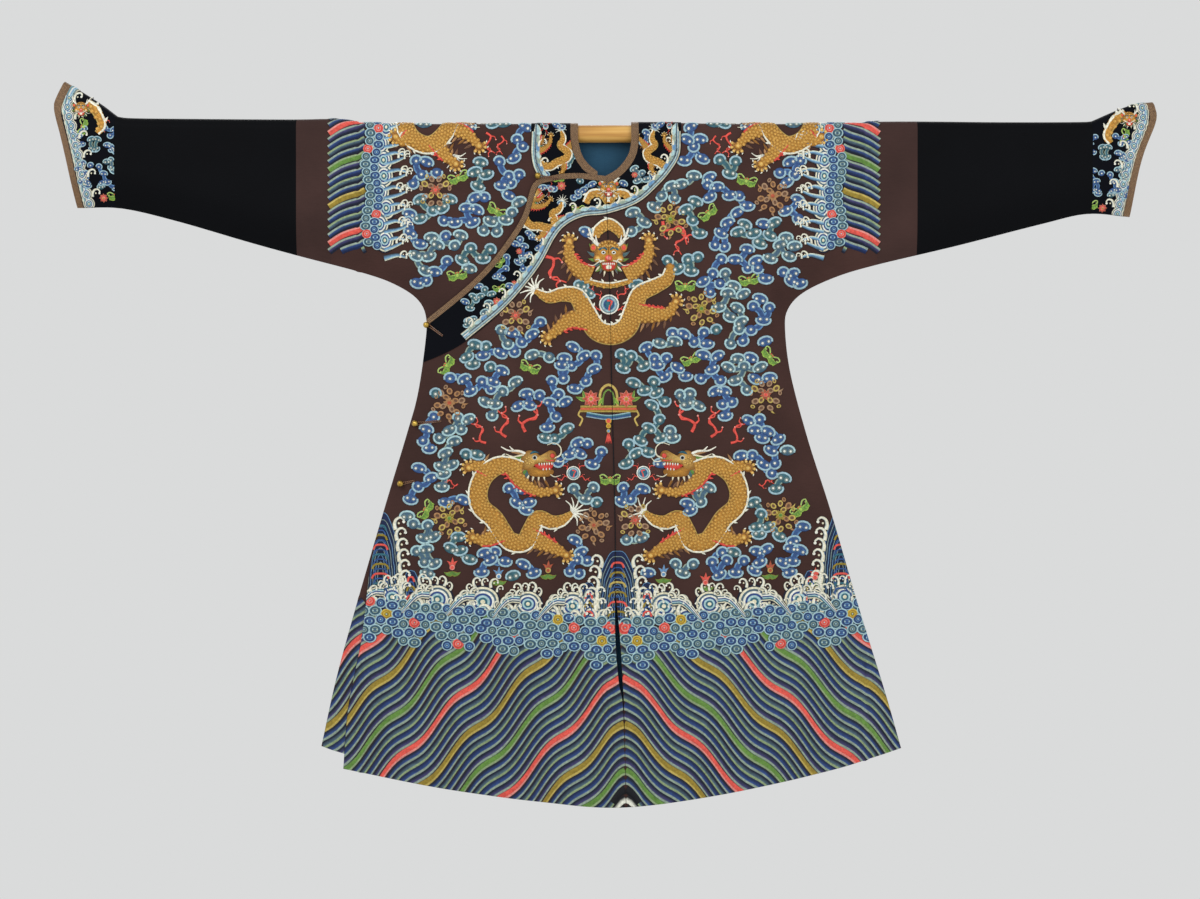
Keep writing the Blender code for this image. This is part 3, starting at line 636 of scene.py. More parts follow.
def triangulate(lines):
    """One sheet divided into triangles along all the lines: its points and its triangles."""
    rows = list(fold_rows())
    rows += list(np.arange(rows[-1] + SPACING / 2, Surface.V1, SPACING))
    columns = np.arange(Surface.X0, Surface.X1, SPACING)
    grid = np.array([(x, v) for v in rows for x in columns])
    off = np.min([distance(grid, line) for line in lines], axis=0)
    deep = np.where(grid[:, 0] < 0, LEFT_SEAM_LINE[:, 1].max(), RIGHT_SEAM_LINE[:, 1].max())
    keep = (off > KEEP_OFF) & (grid[:, 1] < deep + 2 * SLEEVE_DEPTH)
    points, edges = list(grid[keep]), []
    for line in lines:
        edges += [(len(points) + i, len(points) + i + 1) for i in range(len(line) - 1)]
        points += list(line)
    made = delaunay_2d_cdt([Vector(p) for p in points], edges, [], 0, WELD)
    return np.array([tuple(p) for p in made[0]]), np.array([tuple(f) for f in made[2]])


def largest(faces):
    """The largest group of triangles that share edges."""
    by_edge = {}
    for i, face in enumerate(faces):
        for a, b in zip(face, np.roll(face, -1)):
            by_edge.setdefault((min(a, b), max(a, b)), []).append(i)
    links = {}
    for pair in by_edge.values():
        for i in pair:
            links.setdefault(i, set()).update(pair)
    left, best = set(range(len(faces))), []
    while left:
        group, todo = [], [left.pop()]
        while todo:
            i = todo.pop()
            group.append(i)
            fresh = links[i] & left
            left -= fresh
            todo += fresh
        best = max(best, group, key=len)
    return faces[sorted(best)]


def drawn_in(points, faces):
    """The region's points with its border drawn in a little, and the border's edges."""
    used = set()
    for face in faces:
        used.update((int(a), int(b)) for a, b in zip(face, np.roll(face, -1)))
    border = [(a, b) for a, b in used if (b, a) not in used]
    pull = {}
    for a, b in border:
        along = points[b] - points[a]
        inward = np.array([-along[1], along[0]]) / np.linalg.norm(along)
        pull.setdefault(a, []).append(inward)
        pull.setdefault(b, []).append(inward)
    moved = points.copy()
    for i, inwards in pull.items():
        total = np.sum(inwards, axis=0)
        moved[i] = points[i] + total / max(np.linalg.norm(total), 0.4) * SHELL_SEAM / 2
    return moved, sorted(border)


def shell(name, sheet, side, chosen, lift, wall, cloth, inner):
    """A cloth piece: the chosen triangles of a sheet as a thin shell, lifted off the inner face.
    Cloth and inner name the looks of its two faces."""
    points, faces = sheet
    faces = largest(faces[chosen])
    turn = np.cross(points[faces[:, 1]] - points[faces[:, 0]], points[faces[:, 2]] - points[faces[:, 0]])
    faces = np.where(turn[:, None] < 0, faces[:, ::-1], faces)
    moved, border = drawn_in(points, faces)
    used = np.unique(faces)
    index = np.full(len(points), -1)
    index[used] = np.arange(len(used))
    local = moved[used]
    base = lift(local[:, 0]) if callable(lift) else np.full(len(local), float(lift))
    under, over = laid(local, side, base), laid(local, side, base + wall)
    count = len(used)
    top = index[faces]
    down = top[:, ::-1] + count
    edge = index[np.array(border)]
    if side > 0:
        top, down, edge = top[:, ::-1], down[:, ::-1], edge[:, ::-1]
    walls = np.vstack([
        np.column_stack([edge[:, 1], edge[:, 0], edge[:, 0] + count]),
        np.column_stack([edge[:, 1], edge[:, 0] + count, edge[:, 1] + count]),
    ])
    data = bpy.data.meshes.new(f"cloth_{name}")
    data.from_pydata(np.vstack([over, under]) * MM, [], np.vstack([top, down, walls]).tolist())
    data.materials.append(CLOTH[cloth])
    data.materials.append(CLOTH[inner])
    inside_out = np.zeros(len(data.polygons), int)
    inside_out[len(top) : 2 * len(top)] = 1
    data.polygons.foreach_set("material_index", inside_out)
    data.shade_smooth()
    data.set_sharp_from_angle(angle=SHARP_ANGLE)
    made = bpy.data.objects.new(f"cloth_{name}", data)
    bpy.context.scene.collection.objects.link(made)
    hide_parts(name)
    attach(made, "root")


def outer_lift(x):
    """The overlap and the main front lie over the underlap, and come level with it further right."""
    return (WALL + SEAM) * (1.0 - smooth((x - LEVEL_FROM) / LEVEL_WIDTH))


def over_outer(x):
    """What lies on the overlap and the main front."""
    return outer_lift(x) + WALL + SEAM


def sheet_line(rows):
    """A smooth line through points of the front view, in x and v."""
    return flat(curve(rows, LINE_STEP))


LEFT_SEAM_LINE, RIGHT_SEAM_LINE = sheet_line(LEFT_SEAM), sheet_line(RIGHT_SEAM)
LEFT_MOUTH_LINE = with_rows(sheet_line(LEFT_MOUTH))
RIGHT_MOUTH_LINE = with_rows(sheet_line(RIGHT_MOUTH))
HEM_LINE, BACK_HEM_LINE = sheet_line(FRONT_HEM), sheet_line(BACK_HEM)
UNDERLAP_HEM_LINE, UNDERLAP_FRONT_LINE = sheet_line(UNDERLAP_HEM), sheet_line(UNDERLAP_FRONT)
CENTRE_LINE, BACK_SEAM_LINE = sheet_line(CENTRE_SEAM), sheet_line(BACK_SEAM)
SLIT_FLAP_LINE, SLIT_MAIN_LINE = sheet_line(SLIT_FLAP), sheet_line(SLIT_MAIN)
FLAP_EDGE_LINE, FLAP_SIDE_LINE = sheet_line(FLAP_EDGE), sheet_line(FLAP_SIDE)


def to_fold(points, first, last):
    """A line of the sheet, led on over the fold to v = 0 at its first end, its last end or both."""
    rows = [0.0, *fold_rows()[:-1]]
    made = [points]
    if first:
        made.insert(0, [(points[0][0], v) for v in rows])
    if last:
        made.append([(points[-1][0], v) for v in rows[::-1]])
    return np.vstack(made)


NECK_RIGHT_LINE, NECK_LEFT_LINE, BAND_RIGHT_LINE, BAND_LEFT_LINE = (
    to_fold(line, line[0][1] < line[-1][1], line[0][1] >= line[-1][1])
    for line in map(sheet_line, (NECK_RIGHT, NECK_LEFT, BAND_RIGHT, BAND_LEFT))
)
BACK_NECK_LINE, BAND_BACK_LINE = (to_fold(sheet_line(rows), True, True) for rows in (BACK_NECK, BAND_BACK))
LEFT_TIP, RIGHT_TIP = LEFT_MOUTH[0][0], RIGHT_MOUTH[0][0]

# Bindings: the edge that is bound, and the width, positive to the right of its direction
BINDINGS = {
    "left_cuff": (LEFT_MOUTH_LINE, CUFF_BINDING, True),
    "right_cuff": (RIGHT_MOUTH_LINE, -CUFF_BINDING, True),
    "neck_left": (NECK_LEFT_LINE, NECK_BINDING),
    "neck_right": (NECK_RIGHT_LINE, -NECK_BINDING),
    "neck_back": (BACK_NECK_LINE, -NECK_BINDING),
    "overlap": (FLAP_EDGE_LINE, FLAP_BINDING),
}


def fold_line(x0, x1):
    """The shoulder fold from x0 to x1."""
    count = max(2, round(abs(x1 - x0) / SPACING))
    return np.column_stack([np.linspace(x0, x1, count), np.zeros(count)])


def flap_outline():
    """The overlap, all round."""
    joins = LEFT_SEAM_LINE[:, 1] > FLAP_EDGE_LINE[-1][1] + 1.0
    meets = LEFT_SEAM_LINE[:, 1] < FLAP_SIDE_LINE[0][1] - LINE_STEP / 2
    side = np.vstack([LEFT_SEAM_LINE[joins & meets], FLAP_SIDE_LINE])
    hem = HEM_LINE[HEM_LINE[:, 0] < SLIT_FLAP[-1][0] + 0.5]
    return [FLAP_EDGE_LINE, side, hem[::-1], SLIT_FLAP_LINE[::-1], CENTRE_LINE[::-1]]


def under_outline():
    """The underlap with its whole sleeve, all round."""
    return [
        NECK_LEFT_LINE[NECK_LEFT_LINE[:, 0] < UNDERLAP_FRONT[0][0]],
        fold_line(NECK_LEFT[-1][0], LEFT_TIP),
        LEFT_MOUTH_LINE,
        LEFT_SEAM_LINE,
        UNDERLAP_HEM_LINE,
        UNDERLAP_FRONT_LINE[::-1],
    ]


def main_outline():
    """The main front with its whole sleeve, all round."""
    hem = HEM_LINE[HEM_LINE[:, 0] > SLIT_MAIN[-1][0] - 0.5]
    return [
        NECK_RIGHT_LINE,
        fold_line(NECK_RIGHT[-1][0], RIGHT_TIP),
        RIGHT_MOUTH_LINE,
        RIGHT_SEAM_LINE,
        hem,
        SLIT_MAIN_LINE[::-1],
        CENTRE_LINE[::-1],
    ]


def back_outline():
    """The whole back, all round."""
    return [
        BACK_NECK_LINE,
        fold_line(NECK_RIGHT[-1][0], RIGHT_TIP),
        RIGHT_MOUTH_LINE,
        RIGHT_SEAM_LINE,
        BACK_HEM_LINE,
        LEFT_SEAM_LINE[::-1],
        LEFT_MOUTH_LINE[::-1],
        fold_line(LEFT_TIP, NECK_LEFT[-1][0]),
    ]


FLAP_SHAPE = np.vstack(flap_outline())
UNDER_SHAPE = np.vstack(under_outline())
MAIN_SHAPE = np.vstack(main_outline())
BACK_SHAPE = np.vstack(back_outline())
BAND_SHAPE = np.vstack([BAND_RIGHT_LINE, [(-400, -60), (153, -60)]])
LEFT_BAND_SHAPE = np.vstack([BAND_LEFT_LINE, [(30, 150), (30, -60), (-146, -60)]])
BACK_LEFT_SHAPE = np.vstack([BACK_SEAM_LINE, [(-1300, 1500), (-1300, -60), (0, -60)]])


def make_sheets():
    """The front and the back sheet, divided along every seam."""
    sleeves = [cross_line(x) for x in (*CUFF_AT, *EXTENSION_AT, *PATCH_AT)]
    front = [*flap_outline(), *under_outline(), *main_outline(), *sleeves]
    front += [BAND_RIGHT_LINE, BAND_LEFT_LINE]
    front += [strip(*BINDINGS[name])[0] for name in BINDINGS if name != "neck_back"]
    back = [*back_outline(), *sleeves, BAND_BACK_LINE, BACK_SEAM_LINE]
    back += [strip(*BINDINGS[name])[0] for name in ("left_cuff", "right_cuff", "neck_back")]
    return triangulate(front), triangulate(back)


def past_patches(middle):
    """Which places of a sheet lie in a sleeve, past the body's own cloth."""
    x, v = middle[:, 0], middle[:, 1]
    return ((x < PATCH_AT[0]) | (x > PATCH_AT[1])) & (v < SLEEVE_DEPTH)


def make_sleeve(side_name, whole, sheet, side, sheet_name):
    """The band, extension, cuff and cuff binding of one sleeve, on one sheet."""
    points, faces = sheet
    middle = points[faces].mean(axis=1)
    sleeve = whole & (middle[:, 1] < SLEEVE_DEPTH)
    i, sign = (0, -1) if side_name == "left" else (1, 1)
    out = middle[:, 0] * sign
    band_at, extension_at, cuff_at = (at[i] * sign for at in (PATCH_AT, EXTENSION_AT, CUFF_AT))
    cuff = sleeve & (out > cuff_at)
    bound = inside(middle, strip(*BINDINGS[f"{side_name}_cuff"])[1])
    for name, chosen, wall, cloth, inner in (
        ("sleeve_band", sleeve & (out > band_at) & (out < extension_at), WALL, "brown_band", "lining"),
        ("sleeve_extension", sleeve & (out > extension_at) & (out < cuff_at), WALL, "black_silk", "lining"),
        ("cuff", cuff & ~bound, WALL, "navy_silk", "lining"),
        ("cuff_binding", cuff & bound, BINDING_WALL, "gold_braid", "gold_braid"),
    ):
        shell(f"{name}_{side_name}_{sheet_name}", sheet, side, chosen, 0.0, wall, cloth, inner)


def make_front(sheet):
    """Every cloth piece of the front."""
    points, faces = sheet
    middle = points[faces].mean(axis=1)
    body = ~past_patches(middle)
    flap, under, main = (inside(middle, shape) for shape in (FLAP_SHAPE, UNDER_SHAPE, MAIN_SHAPE))
    for name, chosen, lift in (
        ("underlap", under & body, 0.0),
        ("overlap", flap, outer_lift),
        ("front_main", main & body, outer_lift),
    ):
        shell(name, sheet, -1, chosen, lift, WALL, "brown_silk", "lining")
    make_sleeve("left", under, sheet, -1, "front")
    make_sleeve("right", main, sheet, -1, "front")
    band, left = inside(middle, BAND_SHAPE), inside(middle, LEFT_BAND_SHAPE)
    strips = [strip(*BINDINGS[name])[1] for name in ("neck_left", "neck_right", "overlap")]
    strip_left, strip_right, strip_flap = (inside(middle, polygon) for polygon in strips)
    on_under = under & ~flap
    for name, chosen, lift, cloth in (
        ("collar_band_left", on_under & left & ~strip_left, WALL + SEAM, "navy_silk"),
        ("neck_binding_left", on_under & strip_left, WALL + SEAM, "gold_braid"),
        ("collar_band_right", main & band & ~strip_right, over_outer, "navy_silk"),
        ("neck_binding_right", main & strip_right, over_outer, "gold_braid"),
        ("collar_band_overlap", flap & band & ~strip_flap, over_outer, "navy_silk"),
        ("overlap_binding", flap & strip_flap, over_outer, "gold_braid"),
    ):
        shell(name, sheet, -1, chosen, lift, BAND_WALL, cloth, cloth)


def make_back(sheet):
    """Every cloth piece of the back."""
    points, faces = sheet
    middle = points[faces].mean(axis=1)
    whole, left = inside(middle, BACK_SHAPE), inside(middle, BACK_LEFT_SHAPE)
    body = whole & ~past_patches(middle)
    for name, chosen in (("back_left", body & left), ("back_right", body & ~left)):
        shell(name, sheet, 1, chosen, 0.0, WALL, "brown_silk", "lining")
    make_sleeve("left", whole, sheet, 1, "back")
    make_sleeve("right", whole, sheet, 1, "back")
    band = whole & inside(middle, BAND_BACK_LINE)
    bound = whole & inside(middle, strip(*BINDINGS["neck_back"])[1])
    for name, chosen, cloth in (
        ("collar_band_back", band & ~bound, "navy_silk"),
        ("neck_binding_back", bound, "gold_braid"),
    ):
        shell(name, sheet, 1, chosen, WALL + SEAM, BAND_WALL, cloth, cloth)


def unrolled(points):
    """Points of the front view as x and v, with the shoulder's cloth unrolled upwards."""
    points = np.asarray(points, float)
    radius, centre = fold_at(points[:, 0])
    return np.column_stack([points[:, 0], radius * math.pi / 2 + centre - points[:, 1]])


def signed(points, polygon):
    """Distance inside a closed polygon's border, negative outside."""
    ring = np.vstack([polygon, polygon[:1]])
    away = distance(points, ring)
    return np.where(inside(points, polygon), away, -away)


# The x about which the motifs are mirrored
MIDDLE = 8.0


class Work:
    """Raised needlework, gathered as triangles in the front view's millimetres."""

    def __init__(self):
        self.parts = []

    def add(self, points, heights, colours, faces):
        """Triangles with a height over the cloth and a colour at each point."""
        self.parts.append((
            np.asarray(points, float),
            np.asarray(heights, float),
            np.asarray(colours, float),
            np.asarray(faces, int).reshape(-1, 3),
        ))

    def flipped(self):
        """The same work turned over about the robe's middle."""
        other = Work()
        for points, heights, colours, faces in self.parts:
            mirror = points.copy()
            mirror[:, 0] = 2 * MIDDLE - mirror[:, 0]
            other.parts.append((mirror, heights, colours, faces))
        return other

    def moved(self, x, z, scale=1.0, turn=0.0, flip=False, raised=0.0):
        """The same work at another place."""
        other = Work()
        c, s = math.cos(turn) * scale, math.sin(turn) * scale
        for points, heights, colours, faces in self.parts:
            p = points * np.array([-1.0, 1.0]) if flip else points
            place = np.column_stack([x + c * p[:, 0] - s * p[:, 1], z + s * p[:, 0] + c * p[:, 1]])
            other.parts.append((place, heights + raised, colours, faces))
        return other

    def take(self, other):
        """The other work joins this one."""
        self.parts += other.parts

    def ribbon(self, line, half, rows, lift=0.0):
        """A band along a line. Rows run across it: place from -1 to 1, colour, height."""
        line = np.asarray(line, float)
        along = np.gradient(line, axis=0)
        along /= np.maximum(np.linalg.norm(along, axis=1, keepdims=True), 1e-9)
        across = np.column_stack([along[:, 1], -along[:, 0]])
        half = np.broadcast_to(np.asarray(half, float), (len(line),))
        n, m = len(line), len(rows)
        places = np.array([row[0] for row in rows])
        points = line[:, None, :] + across[:, None, :] * (half[:, None] * places[None, :])[..., None]
        heights = np.broadcast_to(np.array([row[2] for row in rows]) + lift, (n, m))
        colours = np.broadcast_to(np.array([linear(PALETTE[row[1]]) for row in rows]), (n, m, 3))
        i, j = (a.ravel() for a in np.meshgrid(np.arange(n - 1), np.arange(m - 1), indexing="ij"))
        a, b, c, d = i * m + j, (i + 1) * m + j, (i + 1) * m + j + 1, i * m + j + 1
        faces = np.vstack([np.column_stack([a, b, c]), np.column_stack([a, c, d])])
        self.add(points.reshape(-1, 2), heights.reshape(-1), colours.reshape(-1, 3), faces)

    def disc(self, x, z, radius, rows, lift=0.0, sides=14, squash=1.0, turn=0.0):
        """Rings about a centre, from outside in: share of the radius, colour, height."""
        angles = np.arange(sides) * math.tau / sides
        unit = np.column_stack([np.cos(angles), np.sin(angles) * squash])
        c, s = math.cos(turn), math.sin(turn)
        unit = unit @ np.array([[c, s], [-s, c]])
        points, heights, colours, faces = [], [], [], []
        for k, (share, colour, height) in enumerate(rows):
            points.append(unit * radius * share + (x, z))
            heights += [height + lift] * sides
            colours += [linear(PALETTE[colour])] * sides
            if k:
                a = np.arange(sides) + (k - 1) * sides
                b = (np.arange(sides) + 1) % sides + (k - 1) * sides
                faces.append(np.column_stack([a, b, b + sides]))
                faces.append(np.column_stack([a, b + sides, a + sides]))
        last = (len(rows) - 1) * sides
        middle = len(rows) * sides
        points.append([(x, z)])
        heights.append(rows[-1][2] + lift)
        colours.append(linear(PALETTE[rows[-1][1]]))
        a = np.arange(sides) + last
        b = (np.arange(sides) + 1) % sides + last
        faces.append(np.column_stack([a, b, np.full(sides, middle)]))
        self.add(np.vstack(points), heights, colours, np.vstack(faces))

    def fan(self, outline, middle, rim, centre, heights=(0.1, 0.7), lift=0.0):
        """A filled shape round a middle point, with a rim colour and a centre colour."""
        outline = np.asarray(outline, float)
        n = len(outline)
        points = np.vstack([outline, [middle]])
        high = [heights[0] + lift] * n + [heights[1] + lift]
        colours = [linear(PALETTE[rim])] * n + [linear(PALETTE[centre])]
        a = np.arange(n)
        self.add(points, high, colours, np.column_stack([a, (a + 1) % n, np.full(n, n)]))

    def leaf(self, base, tip, width, colour, edge, bend=0.0, lift=0.0, high=0.8, full=0.35, count=9):
        """A pointed leaf, flame tongue, claw or horn from its base to its tip."""
        base, tip = np.asarray(base, float), np.asarray(tip, float)
        t = np.linspace(0.0, 1.0, count)
        along = tip - base
        side = np.array([along[1], -along[0]])
        line = base + along * t[:, None] + side * (bend * np.sin(t * math.pi))[:, None]
        shape = np.where(
            t < full, np.sqrt(np.clip(t / full, 0.02, 1)), np.cos((t - full) / (1 - full) * math.pi / 2)
        )
        half = width / 2 * np.maximum(shape, 0.03)
        self.ribbon(line, half, flat_rows(edge, colour, 0.15, high, 0.45), lift)

    def stroke(self, points, width, colour, edge, lift=0.0, taper=(1.0, 1.0)):
        """A smooth line of stitches through a few points."""
        line = curve(points, STROKE_STEP)
        t = np.linspace(0.0, 1.0, len(line))
        half = width / 2 * (taper[0] + (taper[1] - taper[0]) * t)
        self.ribbon(line, half, flat_rows(edge, colour, 0.1, STROKE_HIGH, 0.55), lift)

    def gathered(self):
        """All points, heights, colours and faces as four arrays."""
        points, heights, colours, faces, count = [], [], [], [], 0
        for p, h, c, f in self.parts:
            points.append(p)
            heights.append(h)
            colours.append(c)
            faces.append(f + count)
            count += len(p)
        return np.vstack(points), np.concatenate(heights), np.vstack(colours), np.vstack(faces)


# Stands for the distance of points whose triangles no line crosses
FAR = 1000.0
# Heights of a banded disc at its rim and at its middle
BANDED_LOW, BANDED_HIGH = 0.3, 1.9


def cord_rows(edge, colour, low, high):
    """Rows of a band with its height in its middle."""
    return [(-1.0, edge, low), (0.0, colour, high), (1.0, edge, low)]


def flat_rows(edge, colour, low, high, share):
    """Rows of a band that is level between its edges, over that share of its width."""
    return [(-1.0, edge, low), (-share, colour, high), (share, colour, high), (1.0, edge, low)]


def banded(colours):
    """Rows of a disc or a band with a sharp change between its colours, from outside in."""
    rows = []
    for k, colour in enumerate(colours):
        height = BANDED_LOW + (BANDED_HIGH - BANDED_LOW) * k / len(colours)
        rows += [
            (1.0 - (k + 0.04) / len(colours), colour, height),
            (1.0 - (k + 0.9) / len(colours), colour, height),
        ]
    return rows


def cut_to(sheet_points, heights, colours, faces, polygon, keep_inside):
    """The work cut along a polygon of the sheet; triangles across the line are divided."""
    within = inside(sheet_points, polygon)
    crossing = within[faces].sum(axis=1) % 3 > 0
    edge_points = np.unique(faces[crossing])
    field = np.where(within, FAR, -FAR)
    field[edge_points] = signed(sheet_points[edge_points], polygon)
    field = (field if keep_inside else -field) - STITCH_MARGIN
    good = field >= 0
    count = good[faces].sum(axis=1)
    kept = [faces[count == 3]]
    points, high, tint = [sheet_points], [heights], [colours]
    total = len(sheet_points)
    for face in faces[(count == 1) | (count == 2)]:
        loop = []
        for a, b in zip(face, np.roll(face, -1)):
            if good[a]:
                loop.append(int(a))
            if good[a] != good[b]:
                t = field[a] / (field[a] - field[b])
                points.append((sheet_points[a] * (1 - t) + sheet_points[b] * t)[None])
                high.append([heights[a] * (1 - t) + heights[b] * t])
                tint.append((colours[a] * (1 - t) + colours[b] * t)[None])
                loop.append(total)
                total += 1
        kept += [np.array([[loop[0], loop[k], loop[k + 1]]]) for k in range(1, len(loop) - 1)]
    return np.vstack(points), np.concatenate(high), np.vstack(tint), np.vstack(kept)


def stitch(name, work, side, lift, within=(), without=(), gold=False, slot="brown_silk"):
    """The work laid on the cloth as one joined mesh that rides with it."""
    points, heights, colours, faces = work.gathered()
    made = (unrolled(points), heights, colours, faces)
    for polygon in within:
        made = cut_to(*made, polygon, True)
    for polygon in without:
        made = cut_to(*made, polygon, False)
    sheet_points, heights, colours, faces = made
    a, b, c = (sheet_points[faces[:, k]] for k in range(3))
    area = (b[:, 0] - a[:, 0]) * (c[:, 1] - a[:, 1]) - (b[:, 1] - a[:, 1]) * (c[:, 0] - a[:, 0])
    faces, area = faces[np.abs(area) > SLIVER], area[np.abs(area) > SLIVER]
    outward = (area > 0) if side < 0 else (area < 0)
    faces = np.where(outward[:, None], faces, faces[:, ::-1])
    used = np.unique(faces)
    index = np.full(len(sheet_points), -1)
    index[used] = np.arange(len(used))
    local = sheet_points[used]
    top = lift(local[:, 0]) if callable(lift) else np.full(len(local), float(lift))
    place = laid(local, side, top + STITCH_BASE + heights[used])
    data = bpy.data.meshes.new(name)
    data.from_pydata(place * MM, [], index[faces].tolist())
    tint = data.color_attributes.new("Col", "FLOAT_COLOR", "POINT")
    rng = np.random.default_rng(len(used))
    shade = 1.0 + STITCH_VARIES * rng.standard_normal(len(used))
    rgba = np.column_stack([np.clip(colours[used] * shade[:, None], 0.0, 1.0), np.ones(len(used))])
    tint.data.foreach_set("color", rgba.astype(np.float32).ravel())
    data.materials.append(GOLD_THREAD if gold else SILK_THREAD)
    data.shade_smooth()
    made = bpy.data.objects.new(name, data)
    bpy.context.scene.collection.objects.link(made)
    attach(made, "root")


# Striped waves above the hem: vertical pitch, slope, swing and its length, then where they start and end
STRIPE_PITCH = 18.6
STRIPE_SLOPE = 1.0
SWING = 8.5
SWING_LENGTH = 118.0
PEAK_ROUND = 7.0
CORAL_PEAK = -1086.0
ACCENT_EVERY = 5
WAVE_TOP = -1000.0
STRIPE_STEP = 9.0
STRIPE_REACH = 660.0
STRIPES_FROM, STRIPES_TO = -1360.0, -380.0
# Stripes that start below this are black and white next to the seam
PEAK_TONES = -1304.0
# Stripe tones: pale, middle and dark thread; the pale and dark edges also carry painted highlight and
# painted shade
ACCENT_TONES = [
    ("pink", "coral", "red"), ("straw", "old_gold", "dark_gold"), ("sage", "moss", "dark_green")
]
PLAIN_TONES = [
    ("mist", "cobalt", "ink_blue"),
    ("sage", "steel", "ink_blue"),
    ("mist", "cobalt", "indigo"),
    ("mist", "dusk", "ink_blue"),
]


def centre_x(z):
    """The centre seam's x at a height."""
    seam = np.array(CENTRE_SEAM + SLIT_MAIN[1:], float)
    return np.interp(-np.asarray(z, float), -seam[:, 1], seam[:, 0])


def stripe_line(peak, hand, phase):
    """One stripe of the waves, from the centre seam outwards."""
    d = np.arange(0.0, STRIPE_REACH + STRIPE_STEP, STRIPE_STEP)
    drop = STRIPE_SLOPE * (np.sqrt(d**2 + PEAK_ROUND**2) - PEAK_ROUND)
    drop += SWING * np.sin((d + phase) * math.tau / SWING_LENGTH + 0.9) * smooth(d / 40.0)
    z = peak - drop
    x = centre_x(np.clip(z, -1344.0, -86.0)) + hand * (d + 0.3)
    return np.column_stack([x, z])


def painted_shade_stripe_rows(tones, hand, accent):
    """A stripe stands up like a cord. Its tones are its threads' colours, and its pale upper edge and dark
    lower edge are also painted highlight and painted shade, as on a cord lit from above.
    """
    pale, middle, dark = tones
    if accent:
        edge, start, inner = "ink_blue", -0.86, [(-0.3, middle, 1.8), (0.68, middle, 1.0)]
    else:
        edge, start, inner = dark, -0.9, [(-0.26, middle, 1.8), (0.56, dark, 1.1)]
    rows = [(-1.0, edge, 0.1), (start, pale, 0.8), (-0.5, pale, 1.6), *inner, (1.0, edge, 0.1)]
    return rows if hand < 0 else [(-place, colour, height) for place, colour, height in rows[::-1]]


def tones_of(k):
    """Colours of stripe number k, and whether it is one of the bright ones."""
    if k % ACCENT_EVERY == 0:
        return ACCENT_TONES[(-k // ACCENT_EVERY) % 3], True
    return PLAIN_TONES[(k * 7 + k // ACCENT_EVERY) % len(PLAIN_TONES)], False


def striped_waves(hand, start=CORAL_PEAK):
    """All stripes to one side of the centre seam."""
    work = Work()
    low = math.floor((STRIPES_FROM - start) / STRIPE_PITCH) - 1
    high = math.ceil((STRIPES_TO - start) / STRIPE_PITCH)
    for k in range(low, high):
        peak = start + k * STRIPE_PITCH
        # Only the stretch of each stripe below the curls is stitched
        line = stripe_line(peak, hand, -0.25 * peak)
        line = line[line[:, 1] < WAVE_TOP + 0.12 * np.abs(line[:, 0] - 20.0) + 10.0]
        line = line[line[:, 1] > STRIPES_FROM - 12.0]
        if len(line) < 2:
            continue
        tones, accent = tones_of(k)
        half = STRIPE_PITCH / 2 * np.cos(
            np.arctan(np.abs(np.gradient(line[:, 1]) / np.gradient(line[:, 0])))
        )
        work.ribbon(line, half, painted_shade_stripe_rows(tones, hand, accent))
        near = np.abs(line[:, 0] - centre_x(line[:, 1])) < 34.0 + 0.6 * (-1306.0 - peak)
        if peak < PEAK_TONES and near.sum() > 1:
            tone = "white" if k % 2 else "ink"
            work.ribbon(line[near], half[near] * 1.02, painted_shade_stripe_rows((tone, tone, "ink"), hand, False), 0.15)
    return work


# The four kinds of curling heads, two of them cool and two bright
CURLS = [
    [
        (1.0, dark, 0.2), (0.93, "pale", 1.0), (0.83, "pale", 1.1), (0.77, fill, 1.2), (0.5, dark, 1.3),
        (0.42, light, 1.4), (0.26, fill, 1.5),
    ]
    for dark, fill, light in (("deep_teal", "cloud_grey", "mist"), ("indigo", "cloud_blue", "sky"))
]
CURLS += [
    [
        (1.0, "pink", 0.3), (0.86, "coral", 1.1), (0.6, "red", 1.3), (0.5, "pink", 1.4),
        (0.34, "coral", 1.6),
    ],
    [
        (1.0, "straw", 0.3), (0.86, "yellow", 1.1), (0.62, "dark_gold", 1.3), (0.5, "yellow", 1.4),
        (0.32, "old_gold", 1.6),
    ],
]
CURL_LIFT = 1.7


def curly_disc(work, x, z, radius, kind, order):
    """One ringed head of the curling clouds, with its white dots."""
    twin = order % 2 == 0 and kind < 2
    size = radius * (1.12 if twin else 0.9)
    lift = CURL_LIFT + 0.15 * (order % 4)
    work.disc(x, z, size, CURLS[kind], lift=lift, sides=12, squash=0.78 if twin else 0.96)
    for dot in ((-0.3, 0.3) if twin else (0.0,)):
        work.disc(x + dot * size, z, 1.5, [(1.0, "pale", 2.0)], lift=lift, sides=6)


BANK_PITCH = (22.0, 17.5)
BANK_WIDE = 94.0
BANK_REACH = 570.0


def cloud_bank(hand):
    """The curling clouds between the rolling waves and the stripes, with a scalloped lower edge."""
    work = Work()
    discs = []
    for c in range(int(BANK_REACH / BANK_PITCH[0])):
        d = 13.0 + c * BANK_PITCH[0]
        bunch = abs(math.sin(math.pi * (d + 6.0) / BANK_WIDE))
        depth = 2 + round(2.6 * bunch * (1.0 - 0.25 * d / BANK_REACH))
        for r in range(depth + 1):
            shift = 0.5 * BANK_PITCH[0] if r % 2 else 0.0
            x = centre_x(-1000.0) + hand * (d + shift)
            z = -978.0 + 0.085 * d - r * BANK_PITCH[1] + 3.0 * math.sin(2.1 * c + r)
            order = (3 * c + 5 * r) % 8
            kind = (c // 4 + r) % 2
            if (c + 2 * r) % 17 == 5:
                kind = 2 + (c + r) % 2
            discs.append((z, x, kind, order))
    for z, x, kind, order in sorted(discs):
        curly_disc(work, x, z, 12.6, kind, order)
    return work


